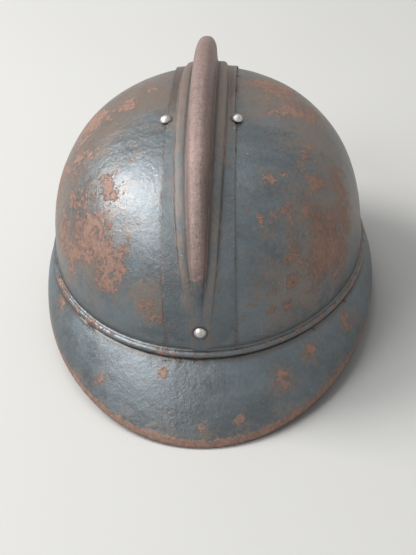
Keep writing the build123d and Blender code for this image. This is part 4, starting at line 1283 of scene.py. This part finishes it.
class HELMET_OT_liner(bpy.types.Operator):
    """Builds the felt band and the leather cap, and finishes their spacers and clips."""

    bl_idname = "helmet.liner"
    bl_label = "Liner"

    def execute(self, context):
        s, colours = context.scene.helmet_sizes, context.scene.helmet_colours
        felt = make_piece("felt_liner_band", felt_shape(s), wool_felt("dark_wool_felt", colours.felt), "helmet",
                          ["felt_band"])
        cap = join_shapes([cap_sector(s, number) for number in range(TONGUES)])
        make_piece("leather_liner_cap", cap, leather("creased_liner_leather", colours.liner), "helmet",
                   ["leather_cap"])
        thread = waxed_thread("liner_thread", colours.thread)
        level = SEAM_HEIGHT + BAND_RISE + 3 * MM
        inset = LEATHER_INSET + LEATHER_THICKNESS + THREAD_PROUD
        make_piece("liner_stitching", seam_stitches(s, level, inset, s.stitch_pitch), thread, "helmet")
        dress(bare_metal("dull_aluminium", colours.aluminium, "aluminium_stain", rough=.48), "spacer_aluminium",
              "spacer_left", "spacer_rear", "spacer_right", "spacer_front")
        dress(aged_paint("clip_paint", colours, rust_bias=.12), "clip_steel", "liner_clip_rear_left",
              "liner_clip_rear_right", "liner_clip_front_right", "liner_clip_front_left")
        return {"FINISHED"}


class HELMET_OT_strap(bpy.types.Operator):
    """Builds the sewn chin strap, and finishes its bails, lugs and buckle."""

    bl_idname = "helmet.strap"
    bl_label = "Chin strap"

    def execute(self, context):
        s, colours = context.scene.helmet_sizes, context.scene.helmet_colours
        hide = leather("worn_strap_leather", colours.strap, rough=.5)
        make_piece("leather_chin_strap", strap_shape(s), hide, "strap", ["chin_strap"])
        make_piece("strap_stitching", strap_stitches(s), waxed_thread("strap_thread", colours.thread), "strap")
        wire = bare_metal("dull_wire", colours.wire, "wire_stain", rough=.42, stain_share=.7)
        dress(wire, "bail_wire", "bail_left", "bail_right")
        dress(wire, "buckle_steel", "strap_buckle")
        dress(aged_paint("lug_paint", colours, rust_bias=.16), "lug_steel", "lug_left", "lug_right")
        return {"FINISHED"}


def dress(material, slot, *nodes):
    """Gives CAD nodes a finish."""
    for name in nodes:
        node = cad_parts[name]
        node.data.materials.clear()
        node.data.materials.append(material)


def add_area(name, direction, size, power, shade):
    """A square soft light in a direction from the helmet's middle, turned to it."""
    lamp = bpy.data.lights.new(name, "AREA")
    lamp.shape, lamp.size, lamp.energy, lamp.color = "SQUARE", size, power, SHADES[shade]
    light = bpy.data.objects.new(name, lamp)
    out = Vector(direction).normalized()
    light.location = Vector((0, 0, LAMP_AIM_HEIGHT)) + out * LAMP_DISTANCE
    light.rotation_mode = "QUATERNION"
    light.rotation_quaternion = out.to_track_quat("Z", "Y")
    bpy.context.scene.collection.objects.link(light)


def pale_room(strength):
    """A world that lights softly, and shows its pale backdrop to the camera and in reflections."""
    world = bpy.data.worlds.new("pale_room")
    world.use_nodes = True
    tree = world.node_tree
    background = tree.nodes["Background"]
    background.inputs["Color"].default_value = (*SHADES["cool"], 1)
    background.inputs["Strength"].default_value = strength
    pale = tree.nodes.new("ShaderNodeBackground")
    pale.inputs["Color"].default_value = (*SHADES["backdrop"], 1)
    seen, shown = tree.nodes.new("ShaderNodeLightPath"), tree.nodes.new("ShaderNodeMixShader")
    sharp = seen.outputs["Is Camera Ray"]
    for other in ("Is Glossy Ray", "Is Transmission Ray"):
        either = tree.nodes.new("ShaderNodeMath")
        either.operation = "MAXIMUM"
        tree.links.new(sharp, either.inputs[0])
        tree.links.new(seen.outputs[other], either.inputs[1])
        sharp = either.outputs[0]
    tree.links.new(sharp, shown.inputs[0])
    tree.links.new(background.outputs[0], shown.inputs[1])
    tree.links.new(pale.outputs[0], shown.inputs[2])
    tree.links.new(shown.outputs[0], tree.nodes["World Output"].inputs["Surface"])
    return world


def photo_camera():
    """The camera that took the photograph, as its seam, rim and outline place it."""
    camera = bpy.data.cameras.new("photo_camera")
    camera.lens, camera.sensor_width, camera.sensor_fit = LENS, SENSOR, "AUTO"
    camera.clip_start, camera.clip_end = CLIP_START, CLIP_END
    viewer = bpy.data.objects.new("photo_camera", camera)
    turned = Matrix((CAMERA_RIGHT, CAMERA_UP, [-c for c in CAMERA_FORWARD])).transposed()
    viewer.matrix_world = Matrix.LocRotScale(CAMERA_PLACE, turned.to_quaternion(), None)
    return viewer


class HELMET_OT_stage(bpy.types.Operator):
    """Makes the pale floor, the soft lights and the camera."""

    bl_idname = "helmet.stage"
    bl_label = "Stage"

    def execute(self, context):
        lights = context.scene.helmet_lights
        mesh = bpy.data.meshes.new("floor")
        h = FLOOR_HALF
        mesh.from_pydata([(-h, -h, 0), (h, -h, 0), (h, h, 0), (-h, h, 0)], [], [(0, 1, 2, 3)])
        mesh.materials.append(pale_floor("pale_floor", context.scene.helmet_colours.floor))
        floor = bpy.data.objects.new("floor", mesh)
        context.scene.collection.objects.link(floor)
        add_area("key_light", KEY_DIRECTION, lights.key_size, lights.key_power, "warm")
        add_area("side_light", SIDE_DIRECTION, SIDE_SIZE, lights.side_power, "cool")
        add_area("top_light", TOP_DIRECTION, TOP_SIZE, lights.top_power, "cool")
        context.scene.world = pale_room(lights.fill_strength)
        viewer = photo_camera()
        context.scene.collection.objects.link(viewer)
        context.scene.camera = viewer
        context.scene.view_settings.view_transform = "Standard"
        return {"FINISHED"}


class HELMET_PT_panel(bpy.types.Panel):
    """Lists the helmet's pieces and settings."""

    bl_idname = "HELMET_PT_panel"
    bl_label = "Adrian Helmet"
    bl_space_type = "VIEW_3D"
    bl_region_type = "UI"
    bl_category = "Helmet"

    def draw(self, context):
        for operator in OPERATORS:
            self.layout.operator(operator.bl_idname)
        for group in (context.scene.helmet_sizes, context.scene.helmet_colours, context.scene.helmet_lights):
            for key in group.__annotations__:
                self.layout.prop(group, key)


OPERATORS = (HELMET_OT_bowl, HELMET_OT_brims, HELMET_OT_crest, HELMET_OT_badge, HELMET_OT_liner,
             HELMET_OT_strap, HELMET_OT_stage)
CLASSES = (HelmetSizes, HelmetColours, HelmetLights, *OPERATORS, HELMET_PT_panel)


def register():
    """Registers the classes and hangs the settings on the scene."""
    for cls in CLASSES:
        bpy.utils.register_class(cls)
    bpy.types.Scene.helmet_sizes = PointerProperty(type=HelmetSizes)
    bpy.types.Scene.helmet_colours = PointerProperty(type=HelmetColours)
    bpy.types.Scene.helmet_lights = PointerProperty(type=HelmetLights)


def unregister():
    """Takes the settings off the scene and unregisters the classes."""
    for name in ("helmet_lights", "helmet_colours", "helmet_sizes"):
        delattr(bpy.types.Scene, name)
    for cls in reversed(CLASSES):
        bpy.utils.unregister_class(cls)


def main():
    register()
    bpy.ops.helmet.bowl()
    bpy.ops.helmet.brims()
    bpy.ops.helmet.crest()
    bpy.ops.helmet.badge()
    bpy.ops.helmet.liner()
    bpy.ops.helmet.strap()
    bpy.ops.helmet.stage()


if __name__ == "__main__":
    main()
